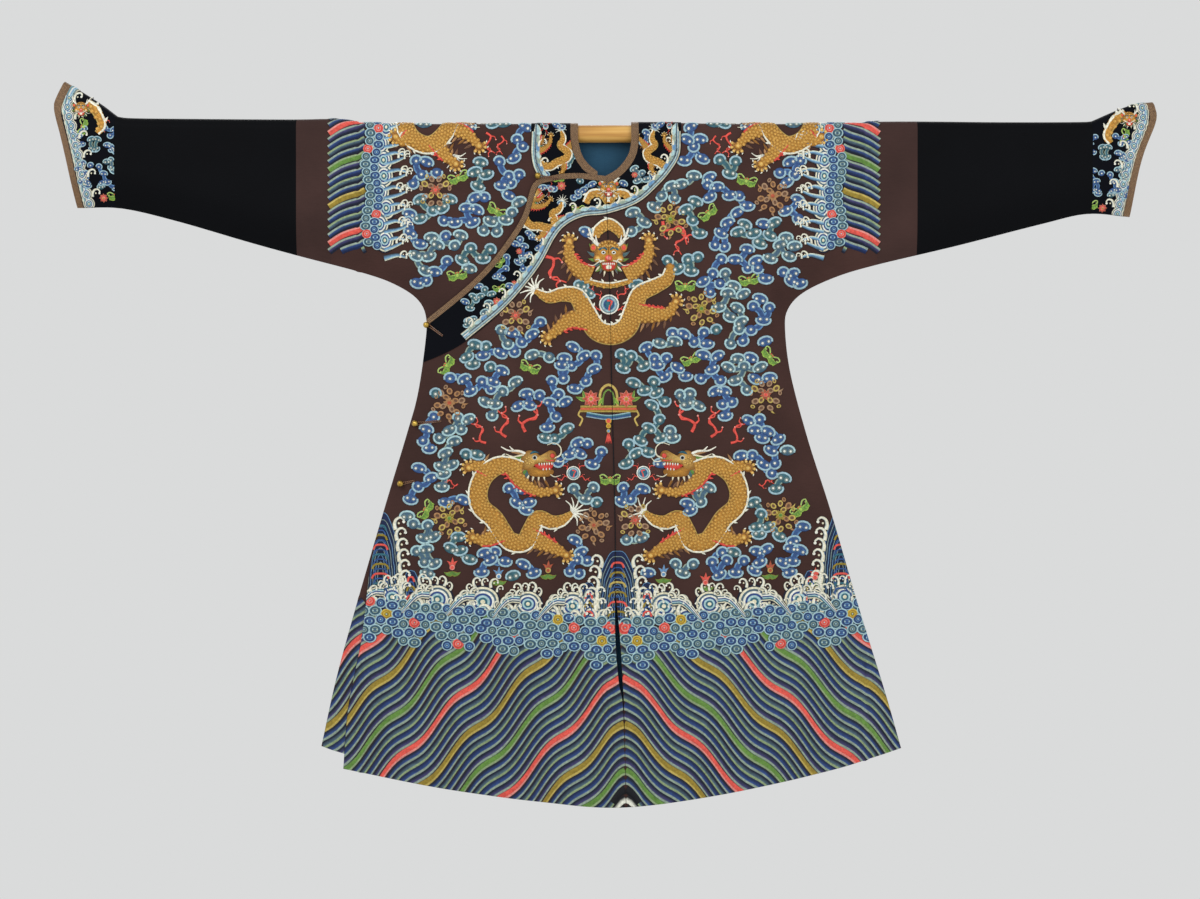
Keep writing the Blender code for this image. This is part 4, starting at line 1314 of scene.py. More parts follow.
def crest(work, x, z, size, hand, turn=0.0, lift=0.9):
    """A wave's crest that curls over, with its drop."""
    one = Work()
    line = curve(
        np.array([(0.0, -0.1), (0.05, 0.45), (0.38, 0.88), (0.85, 0.92), (1.1, 0.55)]) * size, size * 0.2
    )
    t = np.linspace(0.0, 1.0, len(line))
    rows = [(-1.0, "steel", 0.2), (-0.6, "cream", 1.0), (0.5, "white", 1.3), (1.0, "slate", 0.2)]
    one.ribbon(line, size * (0.24 - 0.14 * t), rows, lift)
    one.disc(1.02 * size, 0.42 * size, 0.16 * size, [(1.0, "white", 1.4)], lift=lift, sides=6)
    one.disc(0.5 * size, 0.42 * size, 0.12 * size, [(1.0, "cream", 1.3)], lift=lift, sides=5)
    work.take(one.moved(x, z, 1.0, turn, flip=hand < 0))


FAN_ROWS = banded(["ink_blue", "cream", "steel", "white", "cobalt", "pale", "teal", "cream"])
TONGUE_COLOURS = ["ink_blue", "cream", "steel", "white", "cobalt", "pale", "teal", "cream", "ink_blue"]
TONGUE_ROWS = [
    (
        -1.0 + 2.0 * (k + edge) / len(TONGUE_COLOURS), colour,
        0.3 + 1.7 * math.sin(math.pi * (k + 0.5) / len(TONGUE_COLOURS)),
    ) for k,
    colour in enumerate(TONGUE_COLOURS) for edge in (0.06, 0.94)
]


def wave_fan(work, x, z, radius, hand, lift, crests):
    """A rolling wave as a fan of fine lines, with crests along its top."""
    work.disc(x, z, radius, FAN_ROWS, lift=lift, sides=26, squash=0.94)
    for n in range(crests):
        angle = math.radians(38.0 + 104.0 * n / (crests - 1))
        place = (x + hand * radius * 0.97 * math.cos(angle), z + radius * 0.92 * math.sin(angle))
        crest(
            work, *place, 12.0 + 3.0 * (n % 2), hand, hand * (math.radians(40.0) - angle) * -0.4,
            lift + 1.0,
        )


def tongue(work, start, bend, end, half, lift):
    """A slanted wave, striped along its length, with crests at its head."""
    line = curve([start, bend, end], 7.0)
    t = np.linspace(0.0, 1.0, len(line))
    work.ribbon(line, half * np.sqrt(np.clip(1.15 - t, 0.02, 1.0)), TONGUE_ROWS, lift)
    hand = 1 if end[0] > start[0] else -1
    for share in (0.15, 0.4, 0.65):
        i = int(share * (len(line) - 1))
        crest(work, line[i][0], line[i][1] + half * 0.6, 13.0, -hand, 0.15 * hand, lift + 0.8)


# The rolling waves: the first one's distance from the seam, how many and how far apart
ROLLER_FIRST, ROLLERS, ROLLER_PITCH = 46.0, 6, 90.0


def rolling_waves(hand):
    """The rolling waves with their crests, above the curling clouds."""
    work = Work()
    for k in range(ROLLERS):
        d = ROLLER_FIRST + k * ROLLER_PITCH
        x, z = 28.0 + hand * d, -966.0 + 0.05 * d
        wave_fan(work, x, z - 8.0, (27.0, 31.0, 25.0)[k % 3], -hand, 0.0, 3)
    for k in range(ROLLERS):
        d = ROLLER_FIRST + (k + 0.5) * ROLLER_PITCH
        x, z = 28.0 + hand * d, -948.0 + 0.05 * d
        wave_fan(work, x, z, (34.0, 30.0, 36.0)[k % 3], hand if k % 2 else -hand, 0.4, 5)
        tongue(
            work, (x + hand * 16.0, z + 10.0), (x + hand * 40.0, z + 8.0), (x + hand * 72.0, z - 26.0),
            11.0, 2.0,
        )
    for k in range(2 * ROLLERS):
        d = 30.0 + k * ROLLER_PITCH / 2
        crest(
            work, 28.0 + hand * d, -966.0 + 0.06 * d - 6.0 * (k % 2), 14.0 + 3.0 * (k % 3),
            hand if k % 3 else -hand, 0.2, 1.6,
        )
    return work


def arch(x, z_base, z_top, half, bumps):
    """The outline of a mountain with stepped sides and a round top."""
    left = [(x - half, z_base)]
    for k in range(bumps):
        t = (k + 1) / (bumps + 1)
        wide = half * (1.0 - 0.42 * t**2)
        left.append((x - wide, z_base + (z_top - z_base) * (t - 0.04)))
        left.append((x - wide * 0.95, z_base + (z_top - z_base) * t))
    left.append((x - half * 0.34, z_base + (z_top - z_base) * 0.97))
    line = left + [(x, z_top)] + [(2 * x - px, pz) for px, pz in left[::-1]]
    return curve(line, 5.0)


def mountain(x, base, top, half, accents):
    """A mountain of fine nested ridges with bright steps up its middle, and crests up its sides."""
    work = Work()
    high = top - base
    work.fan(arch(x, base, top, half, 3), (x, base + 4.0), "indigo", "ink_blue", (0.2, 0.9))
    count = max(4, round(half / 5.0))
    for k in range(count):
        share = 1.0 - k / count
        line = arch(x, base, base + high * (0.35 + 0.65 * share), half * (0.06 + 0.94 * share), 3)
        work.ribbon(
            line, 1.0, [(-1.0, "steel", 0.6), (0.0, ("sky", "mist")[k % 2], 1.3), (1.0, "indigo", 0.5)],
            0.4,
        )
    steps = max(3, round(high / 12.0))
    for k in range(steps):
        z = base + high * (0.1 + 0.78 * k / steps)
        wide = half * (0.44 if k % 2 else 0.36) * (1.0 - 0.4 * (k / steps) ** 2)
        line = curve(
            [
                (x - wide, z - 5.0), (x - wide * 0.6, z + 4.0), (x + wide * 0.6, z + 4.0),
                (x + wide, z - 5.0),
            ],
            4.0,
        )
        colour = accents[k // 2 % len(accents)] if k % 2 else "blue"
        work.ribbon(
            line, 2.5 if k % 2 else 1.7,
            [(-1.0, "ink_blue", 0.6), (-0.7, colour, 1.6), (0.5, colour, 1.6), (1.0, "ink_blue", 0.6)],
            0.6,
        )
    rows = max(3, round(high / 24.0))
    for k in range(rows):
        t = 0.08 + 0.86 * k / rows
        wide = half * (1.0 - 0.42 * t**2)
        for hand in (-1, 1):
            crest(
                work, x + hand * (wide + 1.0), base + high * t, min(20.0, 10.0 + 0.08 * high), hand,
                0.3 * hand, 0.9,
            )
    return work


def mountains(hand):
    """The mountains on one side of the centre seam."""
    work = Work()
    steps = ["olive_gold", "coral", "old_gold", "coral"]
    work.take(mountain(27.0 + hand * 58.0, -976.0, -896.0, 19.0, steps[1:]))
    side_x = -446.0 if hand < 0 else 472.0
    work.take(mountain(side_x, -930.0, -758.0, 40.0, ["teal", "coral", "olive_gold"]))
    work.take(mountain(side_x - hand * 60.0, -944.0, -872.0, 20.0, steps[1:]))
    return work


SEA_MIDDLE = 26.0


def sea():
    """Mountains, rolling waves and curling clouds from one side seam to the other."""
    work = Work()
    for hand in (-1, 1):
        work.take(mountains(hand))
    work.take(mountain(SEA_MIDDLE, -984.0, -834.0, 43.0, ["olive_gold", "coral", "olive_gold", "straw"]))
    for hand in (-1, 1):
        work.take(rolling_waves(hand))
        work.take(cloud_bank(hand))
        curly_disc(work, SEA_MIDDLE + hand * 15.0, -986.0, 17.0, 2, 1)
    return work


# The patches at the body's sleeve ends: how far in the stripes, curls and waves reach, and the stripes
PATCH_REACH = (66.0, 104.0, 126.0)
PATCH_SLOPE = 0.5
PATCH_PITCH = 14.6
PATCH_LOWEST = -228.0


def patch_waves(hand):
    """Stripes, curling clouds, waves and crests across one sleeve end, from shoulder to underarm."""
    work = Work()
    outer = PATCH_AT[0] if hand < 0 else PATCH_AT[1]
    inward = -hand
    for k in range(-6, 26):
        z = 60.0 - k * PATCH_PITCH
        line = np.array([
            (outer + inward * d, z + PATCH_SLOPE * d - 60.0 + 3.0 * math.sin(d / 14.0))
            for d in np.arange(-2.0, 74.0, 6.0)
        ])
        line = line[line[:, 1] > PATCH_LOWEST - 10.0 + 0.05 * (line[:, 0] - outer) * inward]
        if len(line) < 2:
            continue
        tones, accent = tones_of(k)
        work.ribbon(line, PATCH_PITCH / 2 * 0.9, painted_shade_stripe_rows(tones, -inward, accent))
    count = int((40.0 - PATCH_LOWEST) / 16.0)
    for k in range(count):
        z = 26.0 - 16.0 * k
        wave_x = outer + inward * (PATCH_REACH[1] + 7.0 + 7.0 * math.sin(1.3 * k))
        if k % 2:
            work.disc(
                wave_x - inward * 6.0, z, 20.0, FAN_ROWS, lift=1.0 + 0.05 * (k % 4), sides=20,
                squash=1.25,
            )
    for k in range(count + 1):
        z = 30.0 - 15.4 * k
        for n, d in enumerate((PATCH_REACH[0] + 10.0, PATCH_REACH[0] + 27.0)):
            kind = 2 + (k // 6) % 2 if (k + 3 * n) % 11 == 4 else n % 2
            curly_disc(work, outer + inward * (d + 5.0 * math.sin(0.8 * k)), z - 7.0 * n, 11.0, kind, k + n)
    for k in range(count):
        z = 14.0 - 17.0 * k
        reach = PATCH_REACH[2] + 10.0 * abs(math.sin(0.9 * k))
        tip_z = z - 6.0 if k % 2 else z + 5.0
        tongue_start = (outer + inward * (PATCH_REACH[1] + 4.0), z - 8.0)
        line = curve(
            [tongue_start, (outer + inward * reach, z - 2.0), (outer + inward * (reach + 16.0), tip_z)],
            5.0,
        )
        work.ribbon(
            line, 5.5 * np.linspace(1.0, 0.5, len(line)),
            [
                (-1.0, "ink_blue", 0.2), (-0.6, "steel", 1.2), (0.0, "sky", 1.6), (0.5, "pale", 1.4),
                (1.0, "cream", 0.5),
            ],
            0.8,
        )
        crest(work, outer + inward * (reach + 6.0), tip_z, 12.0, inward, 0.0, 1.2)
        crest(work, outer + inward * (reach + 18.0), tip_z - 2.0, 10.0, inward, 0.0, 1.2)
    return work


# Cloud heads stand on a staggered lattice, and are joined into chains
HEAD_PITCH = (34.0, 24.2)
HEAD_WIDE = 15.4
HEAD_SINGLE = 12.0
CHAIN_REACH = 41.0
CLOUD_TONES = {
    "blue": ("cloud_edge", "cloud_blue", "indigo", "sky"),
    "teal": ("cloud_edge", "cloud_teal", "deep_teal", "mist"),
    "grey": ("pale", "cloud_grey", "deep_teal", "mist"),
}
CHAIN_TONES = ("blue", "teal", "blue", "grey")
STEM_SWING = 0.14


def cloud_head(work, x, z, turn, twin, tone, scale, lift, up):
    """A scrolled head: a thick pale arc on its outer side, and one or two ringed eyes."""
    edge, fill, dark, light = CLOUD_TONES[tone]
    one = Work()
    size = HEAD_WIDE if twin else HEAD_SINGLE
    flat_share = 0.68 if twin else 0.9
    one.disc(
        0.0, 0.0, size, [(1.0, dark, 0.2), (0.88, fill, 0.9), (0.4, fill, 1.3)], lift=lift, sides=12,
        squash=flat_share,
    )
    angles = np.radians(np.linspace(-24.0, 204.0, 9))
    arc = np.column_stack([np.cos(angles), np.sin(angles) * flat_share * up]) * size * 0.93
    one.ribbon(arc, 2.3, flat_rows(dark, edge, 0.6, 1.6, 0.7), lift)
    for dot in ((-0.4, 0.4) if twin else (0.0,)):
        eye = [(1.0, light, 1.7), (0.66, dark, 1.8), (0.36, "white", 2.0)]
        one.disc(dot * size, -0.12 * size * up, 4.9, eye, lift=lift, sides=8)
    work.take(one.moved(x, z, scale, turn))


def cloud_stem(work, start, end, tone, scale, swing):
    """A stem between two heads, with a little swing and pale edges."""
    _, fill, _, light = CLOUD_TONES[tone]
    a, b = np.array(start, float), np.array(end, float)
    side = np.array([b[1] - a[1], a[0] - b[0]]) * swing
    line = curve([a, (a + b) / 2 + side, b], 7.0)
    rows = [
        (-1.0, light, 0.1), (-0.72, light, 0.8), (-0.5, fill, 1.0), (0.5, fill, 1.0), (0.72, light, 0.8),
        (1.0, light, 0.1),
    ]
    work.ribbon(line, 6.6 * scale, rows)


def clear_of(spots, taken, radius):
    """Which places are free of every circle that is taken."""
    if not taken:
        return np.ones(len(spots), bool)
    circles = np.array(taken, float)
    gaps = np.linalg.norm(spots[:, None, :] - circles[None, :, :2], axis=2) - circles[None, :, 2]
    return (gaps > radius).all(axis=1)


def lattice(area, pitch, about):
    """A staggered and uneven lattice, as distances from a middle line and heights, from the top down."""
    left, right, bottom, top = area
    spots, row, z = [], 0, top
    while z > bottom:
        d = pitch[0] * (0.5 if row % 2 else 0.98)
        column = 0
        while about + d < max(right, 2 * about - left):
            dx = 6.5 * math.sin(3.7 * row + 2.9 * column)
            dz = 4.5 * math.cos(2.3 * row + 5.1 * column)
            spots.append((d + dx, z + dz))
            d += pitch[0]
            column += 1
        z -= pitch[1]
        row += 1
    return spots


def clouds(polygon, taken, area, about=MIDDLE, pitch=HEAD_PITCH, scale=1.0, fits=8.0, outside=()):
    """Chains of clouds wherever nothing else is stitched. Area is left, right, bottom, top."""
    work = Work()
    base = lattice(area, pitch, about)
    reach = CHAIN_REACH * pitch[0] / HEAD_PITCH[0]
    for hand in (-1, 1):
        spots = np.array([(about + hand * d, z) for d, z in base])
        sheet = unrolled(spots)
        fit = (signed(sheet, polygon) > fits * scale) & clear_of(spots, taken, 6.5 * scale)
        fit &= (spots[:, 0] > area[0]) & (spots[:, 0] < area[1])
        for other in outside:
            fit &= signed(sheet, other) < -fits * scale
        free = [i for i in range(len(base)) if fit[i]]
        used, number = set(), 0
        for i in free:
            if i in used:
                continue
            used.add(i)
            chain, links = [i], []
            longest = 4 + number % 3
            for step in range(longest):
                tail = chain[-1 if step % 3 else len(chain) // 2]
                away = np.linalg.norm(spots - spots[tail], axis=1)
                near = [j for j in free if j not in used and away[j] < reach]
                if not near:
                    break
                pick = near[(number + step) % len(near)]
                used.add(pick)
                links.append((tail, pick))
                chain.append(pick)
            middle = spots[chain].mean(axis=0)
            place = {j: spots[j] + (middle - spots[j]) * 0.11 for j in chain}
            tone = CHAIN_TONES[number % len(CHAIN_TONES)]
            for a, b in links:
                cloud_stem(
                    work, place[a], place[b], tone, scale, STEM_SWING if (a + b) % 2 else -STEM_SWING
                )
            for order, j in enumerate(chain):
                twin = (j + order) % 3 != 0
                tilt = hand * 0.5 * math.sin(1.9 * j)
                up = 1 if place[j][1] >= middle[1] else -1
                cloud_head(work, *place[j], tilt, twin, tone, scale, 0.3 + 0.05 * (order % 3), up)
            number += 1
    return work


# Green bats: x, z and turn in degrees
BATS = [
    (-291, -90, 20), (-215, -156, -30), (-293, -284, 10), (283, -96, -15), (207, -160, 40),
    (289, -294, 10), (161, -306, 0), (-313, -464, 60), (-149, -468, -20), (173, -452, 20),
    (329, -446, -50), (-355, -752, 60), (11, -692, 0), (391, -750, 40),
]
# Small emblems tied with ribbons: x, z
EMBLEMS = [
    (-337, -114), (131, -172), (335, -126), (-177, -364), (193, -350), (-309, -538), (321, -522),
    (-309, -768), (-21, -782), (61, -772), (351, -762),
]

# How far the motifs stand over the cloth
MOTIF_LIFT = 0.3
TREASURE_LIFT = 0.4
FIN_LIFT = 0.8
PEARL_LIFT = 1.0
SIDE_HEAD_LIFT = 1.6
FRONT_HEAD_LIFT = 1.8


def bat(work, x, z, turn, scale=1.0):
    """A small green bat with spread and curled wings."""
    one = Work()
    for hand in (-1, 1):
        one.leaf((0, -1), (hand * 20, 4), 13, "moss", "lime", bend=hand * 0.25)
        for k in range(3):
            one.leaf(
                (hand * (5 + 5 * k), -2), (hand * (7 + 5.5 * k), -10 + k), 5, "green", "lime", lift=0.2,
                count=5,
            )
        curl = [(hand * 5, 5), (hand * 13, 11), (hand * 20, 9), (hand * 19, 4), (hand * 15, 5)]
        one.stroke(curl, 3.0, "lime", "mist", lift=0.4)
        one.disc(hand * 2.4, 5, 1.5, [(1.0, "coral", 1.9), (0.5, "coral", 2.1)], sides=6)
    one.disc(0, 0, 6.0, [(1.0, "lime", 0.5), (0.7, "moss", 1.4), (0.3, "lime", 1.7)], sides=9, squash=1.25)
    work.take(one.moved(x, z, scale, math.radians(turn), raised=MOTIF_LIFT))


def emblem(work, x, z, number, scale):
    """A beige emblem: a small flower or wheel in a knot of looping ribbons."""
    one = Work()
    tone, second = (("beige", "straw"), ("straw", "tan"), ("tan", "beige"))[number % 3]
    knot = [
        (9, 8, 7), (20, 12, 8), (27, 3, 5), (8, -10, 7), (19, -12, 8), (24, -22, 5), (7, 21, 7),
        (16, 26, 5), (8, -25, 7),
    ]
    for hand in (-1, 1):
        for k, (px, pz, radius) in enumerate(knot):
            colour = (tone, second)[k % 2]
            ring = [(1.0, "brown", 0.2), (0.86, colour, 1.2), (0.58, colour, 1.2), (0.44, "brown", 0.7)]
            one.disc(hand * px, pz, radius, ring, lift=0.12 * k, sides=9, squash=0.78, turn=hand * 0.7 * k)
        one.leaf((hand * 20, 8), (hand * 34, 12), 5, tone, "brown", bend=0.2 * hand, count=5)
        one.leaf((hand * 10, -26), (hand * 17, -36), 5, second, "brown", bend=0.2 * hand, count=5)
    for k in range(8):
        angle = k * math.tau / 8 + 0.2
        petal = ("rust", "olive_gold", "tan")[number % 3]
        one.leaf((0, 0), around(0, 0, 11, angle), 6.4, petal, tone, lift=1.0, count=5)
    one.disc(
        0, 0, 4.6, [(1.0, tone, 1.8), (0.6, ("coral", "moss", "rust")[number % 3], 2.3)], lift=1.0,
        sides=8,
    )
    work.take(one.moved(x, z, scale, 0.4 * math.sin(number * 2.1), raised=MOTIF_LIFT))


def peony(work, x, z, radius, lift=0.4):
    """A coral flower with three rings of petals."""
    for ring, (share, colour) in enumerate(((1.0, "rust"), (0.72, "coral"), (0.42, "pink"))):
        for k in range(8):
            angle = (k + 0.5 * ring) * math.tau / 8
            tip = around(x, z, radius * share, angle)
            work.leaf(
                (x, z), tip, radius * 0.62 * share, colour, "pink" if ring < 2 else "cream",
                lift=lift + 0.35 * ring, count=6,
            )
    work.disc(x, z, radius * 0.2, [(1.0, "yellow", 1.8), (0.5, "gold", 2.4)], lift=lift + 0.6, sides=8)


# Small treasures on clouds, just over the waves
TREASURES = [(-303, -866), (-113, -872), (-212, -884), (201, -896), (330, -872), (118, -880), (420, -886)]


def treasure(work, x, z, number):
    """A small flaming bloom standing on a green cloud."""
    flame, heart = (("coral", "pink"), ("rust", "straw"), ("sky", "white"))[number % 3]
    for hand in (-1, 1):
        for reach, drop, wide in ((17, -9, 9), (12, -15, 8)):
            work.leaf(
                (x, z - 8), (x + hand * reach, z + drop), wide, "moss", "olive_gold", bend=0.3 * hand,
                lift=TREASURE_LIFT, count=6,
            )
        work.leaf(
            (x + hand * 2, z - 4), (x + hand * 11, z + 13), 8, flame, "brown", bend=-0.2 * hand,
            lift=TREASURE_LIFT + 0.3, count=6,
        )
    work.leaf((x, z - 4), (x + 1, z + 20), 9, flame, "brown", lift=TREASURE_LIFT + 0.5, count=6)
    work.disc(
        x, z, 6.0, [(1.0, "brown", 1.2), (0.8, heart, 1.8), (0.45, flame, 2.2)], lift=TREASURE_LIFT + 0.7,
        sides=9,
    )


def small_motifs():
    """Treasures, bats, emblems and the flower tray of one side of the robe."""
    work = Work()
    for number, (x, z) in enumerate(TREASURES):
        treasure(work, x, z, number)
    for x, z, turn in BATS:
        bat(work, x, z, turn)
    for number, (x, z) in enumerate(EMBLEMS):
        emblem(work, x, z, number, 1.05)
    basket(work, *TRAY_AT)
    return work


def basket(work, x, z):
    """The flower tray below the chest dragon, with its pendant."""
    for hand in (-1, 1):
        peony(work, x + hand * 35, z + 18, 18, MOTIF_LIFT + 0.3)
        work.stroke(
            [
                (x + hand * 54, z - 2), (x + hand * 60, z - 14), (x + hand * 52, z - 22),
                (x + hand * 58, z - 36),
            ],
            3.8, "straw", "tan", lift=MOTIF_LIFT,
        )
        for k in range(3):
            way = math.radians(20 + 50 * k)
            base = (x + hand * 44, z + 14)
            work.leaf(
                base, (base[0] + hand * 23 * math.cos(way), base[1] + 23 * math.sin(way)), 8, "moss",
                "lime", lift=MOTIF_LIFT, count=6,
            )
        work.leaf((x + hand * 20, z + 6), (x + hand * 10, z + 22), 7, "green", "lime", lift=MOTIF_LIFT)
    work.stroke(
        [(x - 18, z + 4), (x - 15, z + 34), (x, z + 46), (x + 15, z + 34), (x + 18, z + 4)], 5.4, "straw",
        "tan", lift=MOTIF_LIFT,
    )
    work.stroke(
        [(x - 12, z + 6), (x - 9, z + 28), (x, z + 36), (x + 9, z + 28), (x + 12, z + 6)], 3.0, "moss",
        "lime", lift=MOTIF_LIFT,
    )
    work.ribbon(
        np.array([(x - 56.0, z - 2.0), (x + 56.0, z - 2.0)]), 6.5,
        [
            (-1, "straw", 0.3), (-0.5, "old_gold", 1.2), (0.0, "coral", 1.5), (0.5, "old_gold", 1.2),
            (1, "straw", 0.3),
        ],
        MOTIF_LIFT + 0.3,
    )
    work.ribbon(
        curve([(x - 44, z - 13), (x, z - 19), (x + 44, z - 13)], 8), 5.0,
        [(-1, "pale", 0.3), (-0.4, "teal", 1.2), (0.4, "cobalt", 1.2), (1, "pale", 0.3)],
        MOTIF_LIFT + 0.1,
    )
    for k in range(3):
        work.disc(
            x, z - 26 - 10 * k, 6 - k, [(1.0, "yellow", 0.8), (0.5, ("coral", "gold", "sky")[k], 1.6)],
            lift=MOTIF_LIFT + 0.2, sides=9,
        )
    for k in range(-2, 3):
        work.leaf((x, z - 48), (x + 3.2 * k, z - 72), 3.2, "coral", "red", lift=MOTIF_LIFT)


GOLD_ROWS = [
    (-1.0, "brown", 0.2), (-0.86, "dark_gold", 1.2), (-0.5, "gold", 1.9), (0.0, "gold", 2.3),
    (0.5, "gold", 1.9), (0.86, "dark_gold", 1.2), (1.0, "brown", 0.2),
]


def scaled(work, line, half, lift, pitch):
    """Small pale scales in staggered rows over a band."""
    lengths = lengths_of(line)
    along = np.gradient(line, axis=0)
    along /= np.maximum(np.linalg.norm(along, axis=1, keepdims=True), 1e-6)
    for k in range(int(lengths[-1] / pitch)):
        s = (k + 0.5) * pitch
        x, z, ax, az, wide = (
            np.interp(s, lengths, values)
            for values in (line[:, 0], line[:, 1], along[:, 0], along[:, 1], half)
        )
        count = max(1, int(round(2 * wide * 0.8 / (1.1 * pitch))))
        for n in range(count + 1 - k % 2):
            place = (n + 0.5 * (k % 2)) / count * 1.6 - 0.8
            high = 2.6 - 1.0 * place * place
            rows = [(1.0, "dark_gold", high - 0.35), (0.55, "scale_gold", high + 0.15)]
            turn = math.atan2(az, ax)
            work.disc(
                x + az * wide * place, z - ax * wide * place, 0.56 * pitch, rows, lift=lift, sides=6,
                turn=turn,
            )


def gold_body(work, rows, lift, spine, dash=1.0):
    """A dragon's scaled body along points x, z and width. Spine is the side of its back."""
    rows = np.array(rows, float)
    line = curve([tuple(r[:2]) for r in rows], 5.0)
    lengths = lengths_of(line)
    marks = np.array([lengths[np.argmin(np.linalg.norm(line - r[:2], axis=1))] for r in rows])
    marks = np.maximum.accumulate(marks + np.arange(len(marks)) * 1e-6)
    half = np.interp(lengths, marks, rows[:, 2]) / 2
    work.ribbon(line, half * 1.04, GOLD_ROWS, lift)
    scaled(work, line, half, lift, 6.2 * dash)
    # The white spine with its few barbs, and the pale belly
    outwards = beside(line, 1.0) - line
    back = line + outwards * (half * 0.96)[:, None] * spine
    work.ribbon(back, 1.9 * dash, cord_rows("cream", "white", 1.2, 2.4), lift + 0.3)
    belly = line - outwards * (half * 0.94)[:, None] * spine
    work.ribbon(
        belly, 1.3 * dash, [(-1, "dark_gold", 1.0), (0, "straw", 1.8), (1, "brown", 0.8)], lift + 0.2
    )
    for k in range(1, int(lengths[-1] / (27.0 * dash)) + 1):
        i = int(np.argmin(np.abs(lengths - (k - 0.5) * 27.0 * dash)))
        j = max(i - 2, 0)
        out = outwards[i] * spine
        tip = back[i] + out * 7.0 * dash + (back[j] - back[i]) * 0.7
        work.leaf(back[i] - out, tip, 4.6 * dash, "white", "cream", lift=lift + 0.4, count=5)


def paw(work, x, z, angle, lift):
    """A foot with five spread fingers and pale claws."""
    work.disc(
        x, z, 9.0,
        [(1.0, "brown", 0.8), (0.78, "dark_gold", 1.6), (0.5, "gold", 2.2), (0.25, "pale_gold", 2.4)],
        lift=lift, sides=10,
    )
    for k in range(5):
        way = math.radians(angle + (k - 2) * 38.0)
        base, knee = around(x, z, 5.0, way), around(x, z, 13.0, way)
        tip = around(*knee, 7.5, way + 0.6)
        work.stroke([base, knee], 6.4, "gold", "brown", lift=lift + 0.4)
        work.disc(*knee, 3.6, [(1.0, "dark_gold", 1.2), (0.5, "pale_gold", 1.9)], lift=lift + 0.4, sides=7)
        work.leaf(knee, tip, 3.6, "white", "cream", bend=0.2, lift=lift + 0.7, count=4)


def limb(work, points, widths, claw_angle, lift=0.9, red=1):
    """A scaled leg with a red edge on one side, hair on the other, and its foot."""
    line = curve(points, 5.0)
    half = np.interp(np.linspace(0, 1, len(line)), np.linspace(0, 1, len(widths)), widths) / 2
    out = beside(line, 1.0) - line
    for k in range(1, len(line) - 2, 2):
        hair = line[k] - out[k] * red * half[k] * 0.8
        tip = hair - out[k] * red * (9.0 + 5.0 * (k % 4)) * 0.8 + (line[0] - line[-1]) * 0.10
        work.leaf(hair, tip, 6.0, ("tan", "dark_gold", "brown")[k % 3], "brown", lift=lift - 0.5, count=5)
    work.ribbon(line, half, GOLD_ROWS, lift)
    scaled(work, line, half, lift, 6.4)
    edge = line + out * red * (half * 0.9)[:, None]
    count = max(2, int(len(edge) * 0.7))
    work.ribbon(edge[:count], 2.4, cord_rows("red", "coral", 0.8, 2.2), lift + 0.3)
    for k in range(1, count, 2):
        tip = edge[k] + out[k] * red * 7.0 + (line[0] - line[-1]) * 0.06
        work.leaf(edge[k], tip, 4.6, "coral", "red", lift=lift + 0.2, count=5)
    paw(work, *points[-1], claw_angle, lift + 0.2)


def flames(work, x, z, angle, size, lift=0.2, hand=1):
    """A winding and branching tongue of fire."""
    way = math.radians(angle)
    along = np.array([math.cos(way), math.sin(way)])
    side = np.array([-along[1], along[0]]) * hand
    root = np.array((x, z), float)

    def at(t):
        return root + along * size * t + side * size * 0.17 * math.sin(t * 7.5)

    work.stroke(
        [tuple(at(t)) for t in (0, 0.18, 0.36, 0.54, 0.72, 0.88, 1.0)], size * 0.085, "coral", "red",
        lift=lift, taper=(1.2, 0.5),
    )
    for t, turn in ((0.2, 1), (0.42, -1), (0.66, 1), (0.85, -1)):
        mid = at(t) + along * size * 0.06 + side * turn * size * 0.16
        tip = mid + along * size * 0.15 + side * turn * size * 0.02
        work.stroke(
            [tuple(at(t)), tuple(mid), tuple(tip)], size * 0.075, "coral", "red", lift=lift + 0.1,
            taper=(1.0, 0.4),
        )
        work.disc(
            tip[0], tip[1], size * 0.035, [(1.0, "pink", 0.8), (0.5, "pink", 1.2)], lift=lift + 0.1,
            sides=6,
        )


def pearl(work, x, z, radius):
    """The flaming pearl."""
    rows = [
        (1.0, "white", 0.8), (0.88, "white", 1.4), (0.84, "steel", 1.4), (0.66, "pale", 1.8),
        (0.5, "cobalt", 1.9), (0.34, "teal", 2.0),
    ]
    work.disc(x, z, radius, rows, lift=PEARL_LIFT, sides=20)
    hook = [
        (x - radius * 0.2, z + radius * 0.4), (x + radius * 0.3, z + radius * 0.3),
        (x + radius * 0.1, z - radius * 0.1), (x, z - radius * 0.6),
    ]
    work.stroke(hook, radius * 0.24, "coral", "pink", lift=PEARL_LIFT + 1.6)
    for k, angle in enumerate((150.0, 30.0, 215.0, 325.0)):
        way = math.radians(angle)
        start = around(x, z, radius * 1.05, way)
        flames(
            work, *start, angle + (25 if k % 2 else -25), radius * 1.5, PEARL_LIFT - 0.5,
            1 if k % 2 else -1,
        )


def tail_fin(work, x, z, angle, size):
    """The white hairs of the tail, spread and curved."""
    for k in range(8):
        spread = (k - 3.5) * 20.0
        way, reach = math.radians(angle + spread), (36.0 - 2.6 * abs(k - 3.5)) * size
        bow = math.radians(angle + spread * 1.6)
        middle = around(x, z, reach * 0.55, way)
        tip = around(*middle, reach * 0.5, bow)
        work.stroke([(x, z), middle, tip], 3.6 * size, "white", "cream", lift=FIN_LIFT, taper=(1.3, 0.4))


